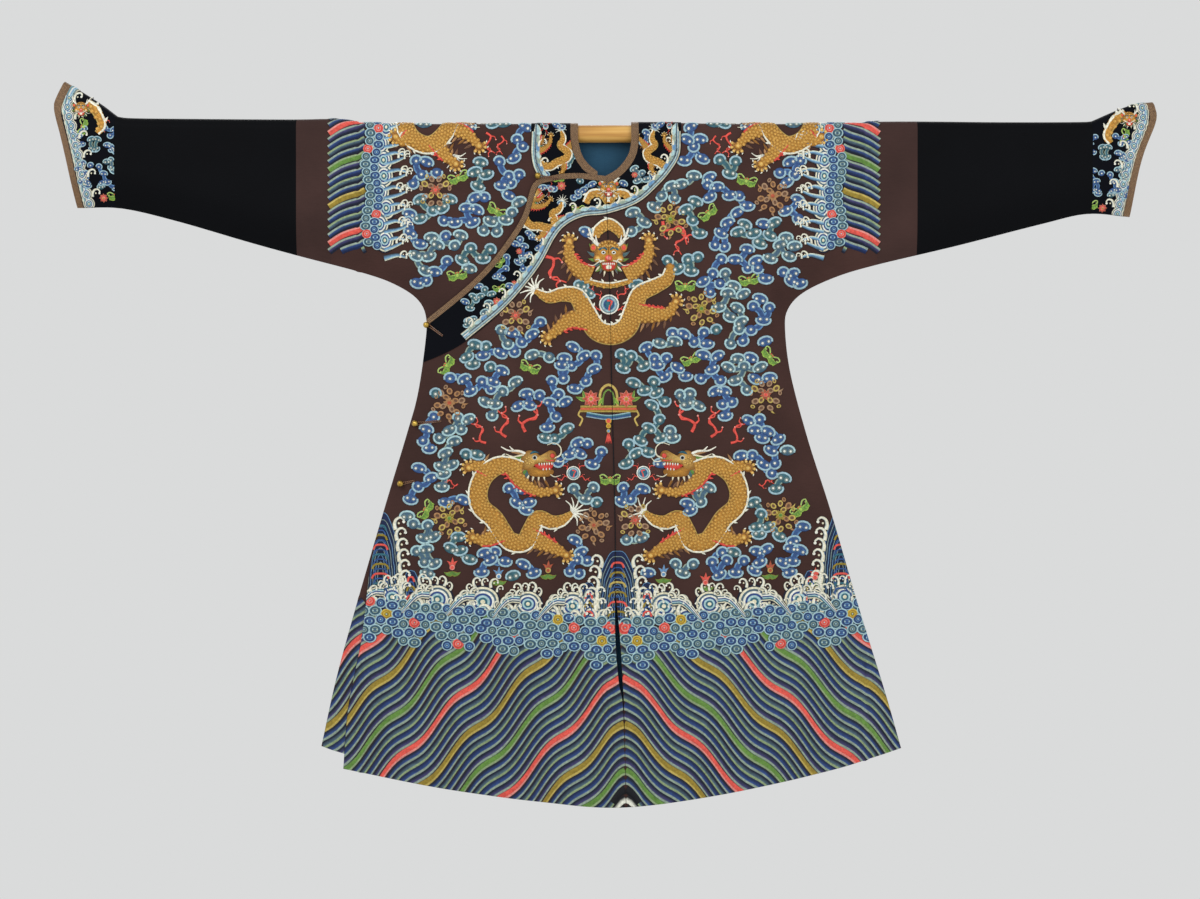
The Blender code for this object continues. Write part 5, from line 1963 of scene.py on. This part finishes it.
def front_head(work, x, z, size):
    """A dragon's face seen from the front, of a common kind."""
    one = Work()
    for hand in (-1, 1):
        for dx, dz, tone in (
            (36, 22, "moss"), (40, 8, "slate"), (38, -6, "moss"), (32, -20, "slate"), (24, -31, "moss"),
            (30, 32, "slate"),
        ):
            one.leaf(
                (hand * 14, dz * 0.35), (hand * dx, dz), 10, tone, "brown", bend=hand * 0.18, lift=-0.6,
                count=7,
            )
        horn = [(hand * 13, 16), (hand * 24, 23), (hand * 31, 33), (hand * 37, 50)]
        one.stroke(horn, 8.0, "white", "beige", lift=0.9, taper=(1.1, 0.4))
        one.stroke([(hand * 27, 27), (hand * 38, 33)], 5.0, "white", "beige", lift=0.9, taper=(1.0, 0.4))
        one.stroke([(hand * 22, 24), (hand * 24, 37)], 4.6, "white", "beige", lift=0.9, taper=(1.0, 0.4))
        one.disc(
            hand * 28, 14, 6.5, [(1.0, "dark_gold", 0.4), (0.7, "gold", 1.2), (0.5, "coral", 1.6)],
            sides=10, squash=1.2,
        )
    one.disc(
        0, 4, 27, [(1.0, "brown", 0.2), (0.9, "dark_gold", 1.2), (0.7, "gold", 2.0), (0.4, "gold", 2.4)],
        sides=20, squash=0.92,
    )
    for k in range(9):
        angle = math.radians(20 + 17.5 * k)
        for ring in (13, 20):
            one.disc(
                ring * math.cos(angle), 8 + ring * math.sin(angle) * 0.86, 3.0,
                [(1.0, "dark_gold", 2.2), (0.6, "gold", 2.6), (0.3, "pale_gold", 2.9)], sides=6,
            )
    one.disc(
        0, 17, 5.0, [(1.0, "brown", 2.6), (0.6, "gold", 3.2), (0.3, "pale_gold", 3.3)], sides=8,
        squash=0.8,
    )
    for hand in (-1, 1):
        one.stroke([(hand * 3, 10), (hand * 9, 14), (hand * 18, 10)], 3.4, "teal", "ink_blue", lift=2.4)
        one.disc(
            hand * 9.5, 5, 4.2,
            [
                (1.0, "ink_blue", 2.4), (0.84, "white", 2.8), (0.55, "white", 3.0), (0.45, "ink", 3.1),
                (0.2, "ink", 3.2),
            ],
            sides=12, squash=0.85,
        )
        one.disc(
            hand * 20, -6, 8, [(1.0, "dark_gold", 1.6), (0.6, "gold", 2.5), (0.3, "pale_gold", 2.7)],
            sides=10,
        )
        one.stroke(
            [(hand * 8, -10), (hand * 18, -12), (hand * 28, -19), (hand * 38, -17)], 2.6, "cream",
            "white", lift=2.0, taper=(1.0, 0.5),
        )
        one.stroke(
            [(hand * 14, -13), (hand * 19, -7), (hand * 25, -9)], 3.2, "white", "cream", lift=2.4,
            taper=(1.0, 0.4),
        )
        for k in range(3):
            one.leaf(
                (hand * (6 + 5 * k), -24 + 2 * k), (hand * (9 + 8 * k), -40 + 5 * k), 4,
                ("cream", "slate")[k % 2], "beige", lift=0.4, count=6,
            )
    one.disc(
        0, -5, 7.0, [(1.0, "red", 2.2), (0.7, "coral", 3.2), (0.35, "pink", 3.5)], sides=12, squash=0.85
    )
    mouth = closed_curve([(-15, -13), (0, -10), (15, -13), (12, -26), (0, -30), (-12, -26)], 4.0)
    one.fan(mouth, (0, -20), "dark_gold", "red", (1.6, 2.2), 0.5)
    one.fan(mouth * 0.8 + (0, -4), (0, -20), "red", "coral", (2.2, 2.3), 0.5)
    for k in range(-3, 4):
        one.leaf((k * 3.4, -13.5), (k * 3.4, -18.5), 2.8, "white", "white", lift=2.7, count=4)
    one.fan(
        closed_curve([(-5, -20), (0, -18), (5, -20), (4, -25), (-4, -25)], 2.0), (0, -22), "cream",
        "white", (2.8, 3.2), 0.3,
    )
    work.take(one.moved(x, z, size, raised=FRONT_HEAD_LIFT))


def side_head(work, x, z, size, turn):
    """A dragon's head in profile, facing right, with open jaws."""
    one = Work()
    for k, (dx, dz) in enumerate(((-44, 8), (-46, -4), (-42, -16), (-34, -27), (-24, -34), (-40, 20))):
        one.leaf(
            (-8, dz * 0.3), (dx, dz), 9.5, ("moss", "slate", "tan")[k % 3], "brown",
            bend=0.14 if dz > 0 else -0.14, lift=-1.0, count=7,
        )
    one.stroke([(-8, 14), (-24, 22), (-44, 24), (-58, 32)], 6.0, "white", "beige", taper=(1.1, 0.35))
    one.stroke([(-34, 23), (-42, 32)], 4.2, "white", "beige", taper=(1.0, 0.4))
    one.stroke([(-4, 12), (-18, 14), (-36, 12), (-50, 18)], 4.6, "cream", "beige", taper=(1.0, 0.35))
    skull = closed_curve(
        [
            (-20, -12), (-21, 8), (-8, 22), (7, 19), (15, 12), (25, 12), (33, 20), (43, 18), (47, 7),
            (41, -3), (22, -3), (6, -5), (-4, -16),
        ],
        4.0,
    )
    one.fan(skull, (4, 5), "dark_gold", "pale_gold", (0.4, 2.6))
    for k in range(8):
        one.disc(
            *around(-6, 3, 6, 0.8 * k), 2.6, [(1.0, "dark_gold", 2.0), (0.4, "pale_gold", 2.8)], sides=6
        )
    jaw = closed_curve(
        [(-12, -9), (5, -10), (18, -16), (33, -15), (40, -19), (34, -28), (14, -29), (-6, -25)], 4.0
    )
    one.fan(jaw, (10, -20), "dark_gold", "gold", (0.4, 2.0))
    one.fan(
        closed_curve([(2, -5), (18, -4), (39, -4), (35, -15), (18, -16), (6, -10)], 4.0), (18, -9), "red",
        "coral", (0.3, 0.8), 0.2,
    )
    for k in range(6):
        one.leaf((13 + 4.8 * k, -2), (13 + 4.8 * k, -8), 2.8, "white", "white", lift=1.2, count=4)
    for k in range(3):
        one.leaf((20 + 6.0 * k, -17), (20 + 6.0 * k, -12), 2.6, "white", "white", lift=1.2, count=4)
    one.disc(
        5, 8, 5.0, [(1.0, "ink_blue", 2.0), (0.82, "white", 2.6), (0.5, "ink", 2.7), (0.2, "ink", 2.8)],
        sides=11,
    )
    one.leaf((-4, 15), (14, 16), 5.0, "teal", "ink_blue", bend=-0.2, lift=1.2, count=6)
    one.disc(39, 10, 4.6, [(1.0, "red", 2.2), (0.6, "coral", 3.0)], sides=9)
    one.stroke([(24, 3), (32, 1), (41, 1)], 2.6, "coral", "red", lift=1.2, taper=(0.6, 1.0))
    one.stroke([(42, 5), (54, 11), (55, 25), (44, 34), (30, 31)], 2.8, "cream", "white", taper=(1.1, 0.5))
    one.stroke([(44, 0), (56, -2), (64, 6)], 2.4, "cream", "white", taper=(1.0, 0.5))
    one.stroke([(30, -22), (40, -30), (52, -28)], 2.4, "cream", "white", taper=(1.0, 0.5))
    for k in range(4):
        one.leaf((20 - 9 * k, -24), (22 - 12 * k, -37), 4.4, "cream", "beige", lift=-0.4, count=6)
    work.take(one.moved(x, z, size, turn, raised=SIDE_HEAD_LIFT))


def chest_dragon(one):
    """The dragon of the chest, seen from the front over its coils."""
    gold_body(
        one, [(-18, -208, 12), (-12, -194, 20), (8, -182, 23), (28, -194, 20), (34, -208, 12)], lift=0.2,
        spine=-1,
    )
    gold_body(one, [(-40, -294, 8), (8, -304, 10), (56, -294, 8)], lift=0.2, spine=-1)
    body = [
        (-138, -314, 8), (-112, -328, 22), (-84, -322, 28), (-56, -326, 34), (-38, -356, 38),
        (-16, -392, 42), (16, -402, 42), (44, -388, 42), (58, -356, 40), (70, -322, 34), (100, -306, 30),
        (124, -292, 26), (131, -272, 20),
    ]
    gold_body(one, body, lift=0.4, spine=-1)
    one.disc(
        131, -268, 10, [(1.0, "brown", 0.4), (0.8, "dark_gold", 1.5), (0.4, "gold", 2.2)], lift=0.4,
        sides=12,
    )
    tail_fin(one, -134, -314, 150, 1.05)
    limb(one, [(-26, -284), (-52, -272), (-70, -244), (-70, -216)], [40, 32, 24, 16], 95)
    limb(one, [(42, -284), (70, -268), (88, -242), (88, -214)], [38, 30, 22, 16], 85, red=-1)
    limb(
        one, [(-34, -372), (-66, -372), (-92, -390), (-112, -408)], [44, 36, 24, 16], 205, lift=0.6,
        red=-1,
    )
    limb(one, [(66, -360), (100, -362), (128, -358), (142, -336)], [42, 34, 24, 16], 45, lift=0.6, red=-1)
    flames(one, -118, -246, -60, 66)
    flames(one, 116, -176, -35, 66, hand=-1)
    flames(one, 154, -196, -100, 46)
    pearl(one, 9, -342, 20)
    front_head(one, 8, -244, 1.08)


def side_dragon(one, dash=1.0):
    """A dragon of the skirt in profile, with its head to the centre and its back arched."""
    body = [
        (-164, -668, 26), (-190, -662, 32), (-214, -664, 36), (-240, -684, 38), (-252, -716, 38),
        (-246, -746, 38), (-222, -768, 38), (-206, -792, 38), (-188, -814, 38), (-160, -816, 36),
        (-146, -790, 34), (-132, -768, 32), (-106, -776, 28), (-84, -772, 22), (-64, -758, 10),
    ]
    gold_body(one, body, lift=0.4, spine=1, dash=dash)
    tail_fin(one, -66, -758, 25, 1.05)
    limb(one, [(-186, -668), (-166, -696), (-130, -716), (-98, -712)], [34, 28, 20, 14], 5)
    limb(one, [(-230, -672), (-252, -664), (-270, -668)], [30, 24, 14], 150, red=-1)
    limb(one, [(-206, -796), (-238, -812), (-262, -806)], [40, 28, 16], 170, lift=0.6, red=-1)
    limb(
        one, [(-150, -806), (-116, -820), (-92, -832), (-76, -842)], [42, 34, 24, 15], -40, lift=0.6,
        red=-1,
    )
    for fx, fz, angle, size in (
        (-158, -596, 70, 64), (-196, -606, 100, 56), (-236, -618, 120, 50), (-292, -700, 170, 30)
    ):
        flames(one, fx, fz, angle, size)
    side_head(one, -144, -656, 1.05, 0.05)
    pearl(one, -62, -678, 14)


def shoulder_dragon(one):
    """A dragon that lies over the shoulder, so that part of it shows on each side."""
    body = [
        (-304, 24, 30), (-322, -6, 34), (-350, -24, 36), (-382, -12, 36), (-398, 16, 36), (-392, 48, 34),
        (-360, 66, 32), (-320, 70, 26),
    ]
    gold_body(one, body, lift=0.4, spine=-1)
    limb(one, [(-336, -16), (-318, -44), (-296, -62)], [36, 26, 16], -60)
    limb(one, [(-386, -6), (-404, -18), (-416, -8)], [30, 22, 14], 170)
    limb(one, [(-302, 10), (-272, -4), (-250, -26)], [34, 24, 14], -50, red=-1)
    tail_fin(one, -300, -44, -80, 0.9)
    flames(one, -236, 0, -75, 44)
    flames(one, -206, -6, -95, 36)
    side_head(one, -290, 44, 0.9, -0.2)


# What the large motifs take up on the front: x, z, radius
TAKEN_CHEST = [
    (8, -244, 44), (8, -190, 34), (-62, -246, 28), (80, -244, 28), (-98, -276, 30), (136, -204, 34),
    (-120, -322, 26), (-150, -306, 20), (-78, -330, 24), (-56, -370, 34), (-14, -392, 34), (30, -392, 34),
    (62, -350, 34), (100, -360, 30), (132, -350, 26), (-104, -400, 24), (110, -300, 24), (9, -338, 34),
    (8, -302, 24),
]
TAKEN_SIDE = [
    (-150, -655, 40), (-190, -662, 28), (-240, -690, 28), (-244, -745, 28), (-210, -788, 30),
    (-174, -812, 28), (-140, -784, 26), (-100, -778, 22), (-60, -756, 24), (-128, -712, 20),
    (-96, -712, 20), (-270, -666, 18), (-262, -806, 18), (-84, -836, 20), (-150, -578, 26),
    (-194, -584, 26), (-244, -598, 24), (-62, -678, 22), (-124, -820, 22), (-300, -700, 12),
    (-196, -630, 24),
]
TAKEN_SHOULDER = [
    (-306, 0, 26), (-340, -16, 28), (-372, -16, 26), (-398, 10, 28), (-300, -60, 24), (-414, -10, 22),
    (-252, -24, 22), (-228, -24, 18), (-204, -24, 14), (-300, -84, 10),
]


def mirrored(taken):
    """Circles on the other side of the robe's middle."""
    return [(2 * MIDDLE - x, z, r) for x, z, r in taken]


# The wave border: half its width, and how far apart its waves and crests are
BORDER_HALF, BORDER_PITCH, HOOK_PITCH = 8.5, 15.0, 44.0
BORDER_ROWS = [
    (-1.0, "ink_blue", 0.1), (-0.84, "cream", 1.0), (-0.6, "steel", 1.2), (-0.35, "pale", 1.5),
    (-0.15, "sky", 1.6), (0.1, "white", 1.6), (0.35, "teal", 1.5), (0.6, "pale", 1.3),
    (0.84, "cream", 1.0), (1.0, "ink_blue", 0.1),
]


def wave_border(work, points, inward):
    """Overlapping waves along an edge, with crests on their inner side."""
    line = beside(curve(points, 5.0), inward * (BORDER_HALF + 1.0))
    work.ribbon(line, BORDER_HALF, BORDER_ROWS)
    lengths = lengths_of(line)
    along = np.gradient(line, axis=0)
    for k in range(int(lengths[-1] / BORDER_PITCH)):
        i = int(np.argmin(np.abs(lengths - k * BORDER_PITCH)))
        way = along[i] / np.linalg.norm(along[i])
        start = line[i] - way * 14.0
        work.leaf(
            start, line[i] + way * 12.0, BORDER_HALF * 1.9, ("pale", "mist", "sky")[k % 3], "cream",
            bend=0.12 * inward, lift=0.7, high=1.2, full=0.6,
        )
        work.stroke(
            [tuple(start), tuple(line[i] + way * 8.0)], BORDER_HALF * 0.5, "steel", "white", lift=1.6
        )
    for k in range(int(lengths[-1] / HOOK_PITCH)):
        i = int(np.argmin(np.abs(lengths - (k + 0.6) * HOOK_PITCH)))
        out = beside(line, inward)[i] - line[i]
        x, z = line[i] + out * BORDER_HALF * 0.8
        hand = 1 if out[0] > 0 else -1
        crest(work, x, z, 14.0, hand, math.atan2(out[1], abs(out[0])) * hand * 0.6, 1.2)


# The collar's small dragons: x, z, scale, turn, mirrored; its bats: x, z, turn; its blooms: x, z, radius
COLLAR_DRAGONS = [
    (-106, -34, 0.40, 1.35, False), (118, -34, 0.40, -1.35, True), (-124, -158, 0.42, 0.75, False)
]
COLLAR_BATS = [(-53, -152, 0), (-207, -258, 60), (-210, -310, 10), (62, -122, 60), (-92, -92, 0)]
COLLAR_BLOOMS = [
    (-215, -336, 9), (-180, -300, 7), (-86, -106, 10), (60, -84, 7), (-170, -236, 7), (-78, -52, 7),
    (88, -52, 7),
]


def collar_work():
    """Needlework of the dark collar band of the front."""
    work, gold = Work(), Work()
    taken = []
    for x, z, scale, turn, flip in COLLAR_DRAGONS:
        one = Work()
        side_dragon(one, dash=1.9)
        gold.take(one.moved(165, 730).moved(x, z, scale, turn, flip))
        taken += [(x + dx, z + dz, 13) for dx in (-16, 16) for dz in (-24, 0, 24)]
    for hand in (-1, 1):
        arc = [
            (8 + hand * 46, -140, 10), (8 + hand * 34, -122, 14), (8 + hand * 14, -122, 14),
            (8 + hand * 2, -140, 10),
        ]
        gold_body(gold, arc, lift=0.3, spine=hand, dash=1.2)
    front_head(gold, 8, -110, 0.6)
    taken += [(8, -110, 17), (-24, -128, 12), (40, -128, 12)]
    for x, z, turn in COLLAR_BATS:
        bat(work, x, z, turn, 0.62)
        taken.append((x, z, 9))
    for x, z, radius in COLLAR_BLOOMS:
        peony(work, x, z, radius, 0.6)
        taken.append((x, z, radius))
    return work, gold, taken


def mouth_place(hand, d, z):
    """A place of a cuff: d in from its mouth."""
    mouth = np.array(LEFT_MOUTH if hand < 0 else RIGHT_MOUTH, float)
    level = z if hand < 0 else z - 20.0
    return np.interp(-level, -mouth[:, 1], mouth[:, 0]) - hand * d, level


def cuff_work(hand):
    """Needlework of one cuff: a column of waves, a small dragon and clouds."""
    work, gold = Work(), Work()
    heights = np.arange(96.0, -160.0, -8.0)
    column = np.array([mouth_place(hand, CUFF_BINDING + 10.5, z) for z in heights])
    work.ribbon(column, 11.0, BORDER_ROWS)
    for k, z in enumerate(np.arange(70.0, -146.0, -19.0)):
        x, level = mouth_place(hand, CUFF_BINDING + 12.0, z)
        work.disc(x, level, 13.0, FAN_ROWS, lift=0.5 + 0.1 * (k % 3), sides=18, squash=1.1)
        if k % 2 == 0:
            crest(work, *mouth_place(hand, CUFF_BINDING + 23.0, z - 4.0), 14.0, -hand, 0.0, 1.2)
    front_head(gold, *mouth_place(hand, 54.0, 48.0), 0.5)
    arc = [
        (*mouth_place(hand, 62.0, 60.0), 12), (*mouth_place(hand, 82.0, 44.0), 16),
        (*mouth_place(hand, 88.0, 16.0), 14), (*mouth_place(hand, 74.0, 0.0), 8),
    ]
    gold_body(gold, arc, lift=0.3, spine=hand, dash=1.3)
    flames(work, *mouth_place(hand, 96.0, 30.0), -80, 26)
    bat(work, *mouth_place(hand, 50.0, 12.0), 80, 0.8)
    bat(work, *mouth_place(hand, 84.0, -124.0), 10, 0.8)
    peony(work, *mouth_place(hand, 58.0, -128.0), 9)
    return work, gold


def make_rod():
    """The rod keeps its own solid and gets its grain."""
    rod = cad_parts["rod"]
    rod.data.materials.clear()
    rod.data.materials.append(wood())


def make_fastenings():
    """The ball buttons and loops keep their solids and get their materials."""
    looks = {"button": brass(), "loop": cord_silk()}
    for name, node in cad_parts.items():
        look = looks.get(name.split("_")[0])
        if look:
            node.data.materials.clear()
            node.data.materials.append(look)


def make_studio():
    """A plain pale floor, soft light, and the camera straight in front."""
    scene = bpy.context.scene
    world = bpy.data.worlds.new("studio")
    world.use_nodes = True
    background = world.node_tree.nodes["Background"]
    background.inputs[0].default_value = (*linear(STUDIO_GREY), 1.0)
    scene.world = world
    bpy.ops.mesh.primitive_circle_add(
        vertices=96, radius=FLOOR_RADIUS, fill_type="TRIFAN", location=FLOOR_AT
    )
    floor = bpy.context.object
    floor.name = "floor"
    made, _, shader, _ = node_material("pale_floor", 0.9, specular=0.1)
    shader.inputs["Base Color"].default_value = (*linear(FLOOR_GREY), 1.0)
    floor.data.materials.append(made)
    for name, place, size, power in LIGHTS:
        lamp = bpy.data.lights.new(name, "AREA")
        lamp.shape = "RECTANGLE"
        lamp.size, lamp.size_y = size
        lamp.energy = power
        light = bpy.data.objects.new(name, lamp)
        light.location = place
        aim = Vector(LIGHTS_AIM) - Vector(place)
        light.rotation_euler = aim.to_track_quat("-Z", "Y").to_euler()
        scene.collection.objects.link(light)
    camera = bpy.data.cameras.new("camera")
    camera.lens, camera.sensor_width = CAMERA_LENS, CAMERA_SENSOR
    camera.clip_end = CAMERA_END
    seat = bpy.data.objects.new("camera", camera)
    seat.location = CAMERA_AT
    seat.rotation_euler = (math.pi / 2, 0.0, 0.0)
    scene.collection.objects.link(seat)
    scene.camera = seat
    scene.view_settings.view_transform = "Standard"
    scene.view_settings.look = "None"


# The lens and its sensor, in millimetres
CAMERA_LENS, CAMERA_SENSOR = 90.0, 36.0
# The studio, in metres and watts
STUDIO_GREY = (218, 219, 219)
FLOOR_GREY = (214, 214, 212)
CAMERA_AT = (-0.009, -6.0, -0.631)
CAMERA_END = 100.0
LIGHTS_AIM = (0.0, 0.0, -0.65)
FLOOR_RADIUS = 1.8
FLOOR_AT = (0.0, 0.0, -1.8)
LIGHTS = [
    ("key", (-1.8, -3.2, 1.6), (2.4, 2.4), 60.0),
    ("fill", (2.4, -3.0, 0.4), (2.4, 2.4), 34.0),
    ("rear", (0.0, 3.4, 1.4), (2.6, 2.6), 60.0),
]


def on_front(x):
    """The outer face of the overlap and the main front."""
    return outer_lift(x) + WALL


# The room that clouds may fill on the body: left, right, bottom, top
CLOUD_AREA = (-600.0, 620.0, -880.0, 16.0)
CUFF_PITCH = (19.5, 14.5)
CUFF_SCALE = 0.54
# Past both sheets, in x and v
OVER_TOP, PAST_SIDE = -60.0, 1200.0


def block(x0, x1, depth):
    """A rectangle of the sheet from its top edge down."""
    return np.array([(x0, OVER_TOP), (x1, OVER_TOP), (x1, depth), (x0, depth)])


PATCH_BLOCKS = [block(-PAST_SIDE, -402.0, 300.0), block(404.0, PAST_SIDE, 300.0)]
TRAY_AT = (MIDDLE, -548.0)
# The plain strip along each side seam: x and z of the edge, from the underarm down
LEFT_EDGE = [(-355, -462), (-385, -592), (-409, -692), (-423, -752)]
RIGHT_EDGE = [(365, -332), (361, -412), (375, -532), (395, -632), (421, -732)]
SIDE_STRIPS = [
    (float(np.interp(-z, [-edge_z for _, edge_z in edge], [edge_x for edge_x, _ in edge])), float(z), 21)
    for edge in (LEFT_EDGE, RIGHT_EDGE)
    for z in range(-340, -770, -18)
]
TAKEN_SMALL = [(x, z, 17) for x, z, _ in BATS] + [(x, z, 25) for x, z in EMBLEMS] + [
    (x, z - 2, 17) for x, z in TREASURES
] + SIDE_STRIPS
TAKEN_TRAY = [
    (-27, -528, 24), (43, -528, 24), (8, -520, 34), (-44, -560, 20), (60, -560, 20), (8, -592, 20)
]
TAKEN_SEA = [
    (26, -868, 48), (-440, -800, 44), (466, -800, 44), (-450, -850, 50), (476, -850, 50),
    (-396, -880, 28), (420, -880, 28),
]
TAKEN_ALL = (
    TAKEN_CHEST + TAKEN_SIDE + mirrored(TAKEN_SIDE) + TAKEN_SHOULDER + mirrored(TAKEN_SHOULDER)
    + TAKEN_SMALL + TAKEN_TRAY + TAKEN_SEA
)


def seam_groove_shade():
    """A dark ink cord along the front's centre seam: painted shade of the seam's groove, laid over the
    cloth and the needlework.
    """
    work = Work()
    work.ribbon(
        curve([p for p in CENTRE_SEAM if p[1] > -905] + [(21, -905)], 8.0), 1.0,
        cord_rows("ink", "ink", 0.1, 2.2),
    )
    return work


def dragons():
    """The five large dragons: chest, skirt left and right, shoulders left and right."""
    chest, side, shoulder = Work(), Work(), Work()
    chest_dragon(chest)
    side_dragon(side)
    shoulder_dragon(shoulder)
    return [chest, side, side.flipped(), shoulder, shoulder.flipped()]


def embroider_front():
    """The front's needlework, panel by panel."""
    stitch("stripes_overlap", striped_waves(-1), -1, on_front, within=[FLAP_SHAPE])
    stitch("stripes_front_main", striped_waves(1), -1, on_front, within=[MAIN_SHAPE])
    under_stripes = striped_waves(-1, start=CORAL_PEAK + 26.0)
    stitch("stripes_underlap", under_stripes, -1, WALL, within=[UNDER_SHAPE], without=[FLAP_SHAPE])
    waves_work = sea()
    stitch("waves_overlap", waves_work, -1, on_front, within=[FLAP_SHAPE])
    stitch("waves_front_main", waves_work, -1, on_front, within=[MAIN_SHAPE])
    stitch("patch_underlap", patch_waves(-1), -1, WALL, within=[UNDER_SHAPE], without=[FLAP_SHAPE])
    stitch("patch_front_main", patch_waves(1), -1, on_front, within=[MAIN_SHAPE])
    small = small_motifs()
    chest, skirt_left, skirt_right, shoulder_left, shoulder_right = dragons()
    for name, shape, outside, lift in (
        ("overlap", FLAP_SHAPE, [BAND_SHAPE], on_front),
        ("front_main", MAIN_SHAPE, [BAND_SHAPE, PATCH_BLOCKS[1]], on_front),
        ("underlap", UNDER_SHAPE, [FLAP_SHAPE, LEFT_BAND_SHAPE, PATCH_BLOCKS[0]], WALL),
    ):
        field = clouds(shape, TAKEN_ALL, CLOUD_AREA, outside=outside)
        clear = [other for other in outside if not any(other is patch for patch in PATCH_BLOCKS)]
        stitch(f"clouds_{name}", field, -1, lift, within=[shape], without=clear)
        stitch(f"motifs_{name}", small, -1, lift, within=[shape], without=clear)
    for name, work, lift, within, without, gold in (
        ("dragon_chest_left", chest, on_front, [FLAP_SHAPE], [BAND_SHAPE], True),
        ("dragon_chest_right", chest, on_front, [MAIN_SHAPE], [BAND_SHAPE], True),
        ("dragon_skirt_left", skirt_left, on_front, [FLAP_SHAPE], [], True),
        ("dragon_skirt_right", skirt_right, on_front, [MAIN_SHAPE], [], True),
        # The ink cord along the centre seam is painted shade of its groove
        ("seam_shade_front", seam_groove_shade(), on_front, [], [BAND_SHAPE], False),
        ("dragon_shoulder_left", shoulder_left, WALL, [], [], True),
        ("dragon_shoulder_right", shoulder_right, on_front, [], [], True),
    ):
        stitch(name, work, -1, lift, within, without, gold)


COLLAR_AREA = (-280.0, 150.0, -400.0, 14.0)
BACK_COLLAR_AREA = (-150.0, 156.0, -110.0, 14.0)
CUFF_AREAS = [(-1052.0, -966.0, -120.0, 6.0), (962.0, 1050.0, -140.0, -10.0)]
CUFF_DEPTH = 400.0
COLLAR_PITCH = (22.0, 16.0)
COLLAR_SCALE = 0.6


def on_band(x):
    """The outer face of the collar band on the overlap and the main front."""
    return over_outer(x) + BAND_WALL


def embroider_collar():
    """The collar band's needlework, and the cuffs'."""
    border, small_border = Work(), Work()
    wave_border(border, [p for p in BAND_RIGHT if p[0] > -280], 1)
    wave_border(small_border, BAND_LEFT, -1)
    work, gold, taken = collar_work()
    strips = {name: strip(*BINDINGS[name])[1] for name in ("neck_left", "neck_right", "overlap")}
    inner_band = np.vstack([
        flat(beside(curve([p for p in BAND_RIGHT if p[0] > -290], 9.0), 18.0)),
        [(-300, 300), (-300, -60), (140, -60)],
    ])
    inner_left = np.vstack([
        flat(beside(curve(BAND_LEFT, 9.0), -18.0)), [(30, 150), (30, -60), (-128, -60)]
    ])
    for name, shape, inner, bands, lift, edge in (
        ("overlap", FLAP_SHAPE, inner_band, [strips["overlap"]], on_band, border),
        ("right", MAIN_SHAPE, inner_band, [strips["neck_right"]], on_band, border),
        (
            "left", UNDER_SHAPE, inner_left, [strips["neck_left"], FLAP_SHAPE], WALL + SEAM + BAND_WALL,
            small_border,
        ),
    ):
        silks = clouds(
            shape, taken, COLLAR_AREA, pitch=COLLAR_PITCH, scale=COLLAR_SCALE, fits=5.0, outside=bands
        )
        silks.take(work)
        whole = BAND_SHAPE if inner is inner_band else LEFT_BAND_SHAPE
        stitch(f"collar_waves_{name}", edge, -1, lift, [shape, whole], bands, slot="navy_silk")
        stitch(f"collar_work_{name}", silks, -1, lift, [shape, inner], bands, slot="navy_silk")
        stitch(f"collar_gold_{name}", gold, -1, lift, [shape, inner], bands, True, "navy_silk")
    for hand, label, shape, area, inner in (
        (-1, "left", UNDER_SHAPE, CUFF_AREAS[0], block(-PAST_SIDE, CUFF_AT[0], CUFF_DEPTH)),
        (1, "right", MAIN_SHAPE, CUFF_AREAS[1], block(CUFF_AT[1], PAST_SIDE, CUFF_DEPTH)),
    ):
        work, gold = cuff_work(hand)
        middle = 0.5 * (area[0] + area[1])
        work.take(
            clouds(shape, [], area, about=middle - MIDDLE, pitch=CUFF_PITCH, scale=CUFF_SCALE, fits=4.0)
        )
        bound = strip(*BINDINGS[f"{label}_cuff"])[1]
        for side, name in ((-1, "front"), (1, "back")):
            place = (side, WALL, [shape, inner], [bound])
            stitch(f"cuff_work_{label}_{name}", work, *place, slot="navy_silk")
            stitch(f"cuff_gold_{label}_{name}", gold, *place, gold=True, slot="navy_silk")


def embroider_back():
    """The back's needlework, of the same kind as the front's."""
    for hand, label in ((-1, "left"), (1, "right")):
        stitch(f"stripes_back_{label}", striped_waves(hand), 1, WALL, within=[BACK_SHAPE])
        stitch(f"patch_back_{label}", patch_waves(hand), 1, WALL, within=[BACK_SHAPE])
    stitch("waves_back", sea(), 1, WALL, within=[BACK_SHAPE])
    small = small_motifs()
    field = clouds(BACK_SHAPE, TAKEN_ALL, CLOUD_AREA, outside=[BAND_BACK_LINE, *PATCH_BLOCKS])
    stitch("clouds_back", field, 1, WALL, [BACK_SHAPE], [BAND_BACK_LINE])
    stitch("motifs_back", small, 1, WALL, [BACK_SHAPE], [BAND_BACK_LINE])
    chest, skirt_left, skirt_right = dragons()[:3]
    stitch("dragon_back", chest, 1, WALL, [BACK_SHAPE], [BAND_BACK_LINE], gold=True)
    stitch("dragon_back_left", skirt_left, 1, WALL, [BACK_SHAPE], gold=True)
    stitch("dragon_back_right", skirt_right, 1, WALL, [BACK_SHAPE], gold=True)
    border = Work()
    wave_border(border, BAND_BACK[1:-1], -1)
    bound = strip(*BINDINGS["neck_back"])[1]
    taken = [(x, z, 12) for x, z in BAND_BACK]
    field = clouds(
        BAND_BACK_LINE, taken, BACK_COLLAR_AREA, pitch=COLLAR_PITCH, scale=COLLAR_SCALE, outside=[bound]
    )
    place = (1, WALL + SEAM + BAND_WALL, [BACK_SHAPE, BAND_BACK_LINE], [bound])
    stitch("collar_waves_back", border, *place, slot="navy_silk")
    stitch("collar_work_back", field, *place, slot="navy_silk")


def main():
    """The robe, its needlework, the rod and fastenings, and the studio."""
    front, back = make_sheets()
    make_front(front)
    make_back(back)
    embroider_front()
    embroider_collar()
    embroider_back()
    make_rod()
    make_fastenings()
    make_studio()
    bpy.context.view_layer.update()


main()
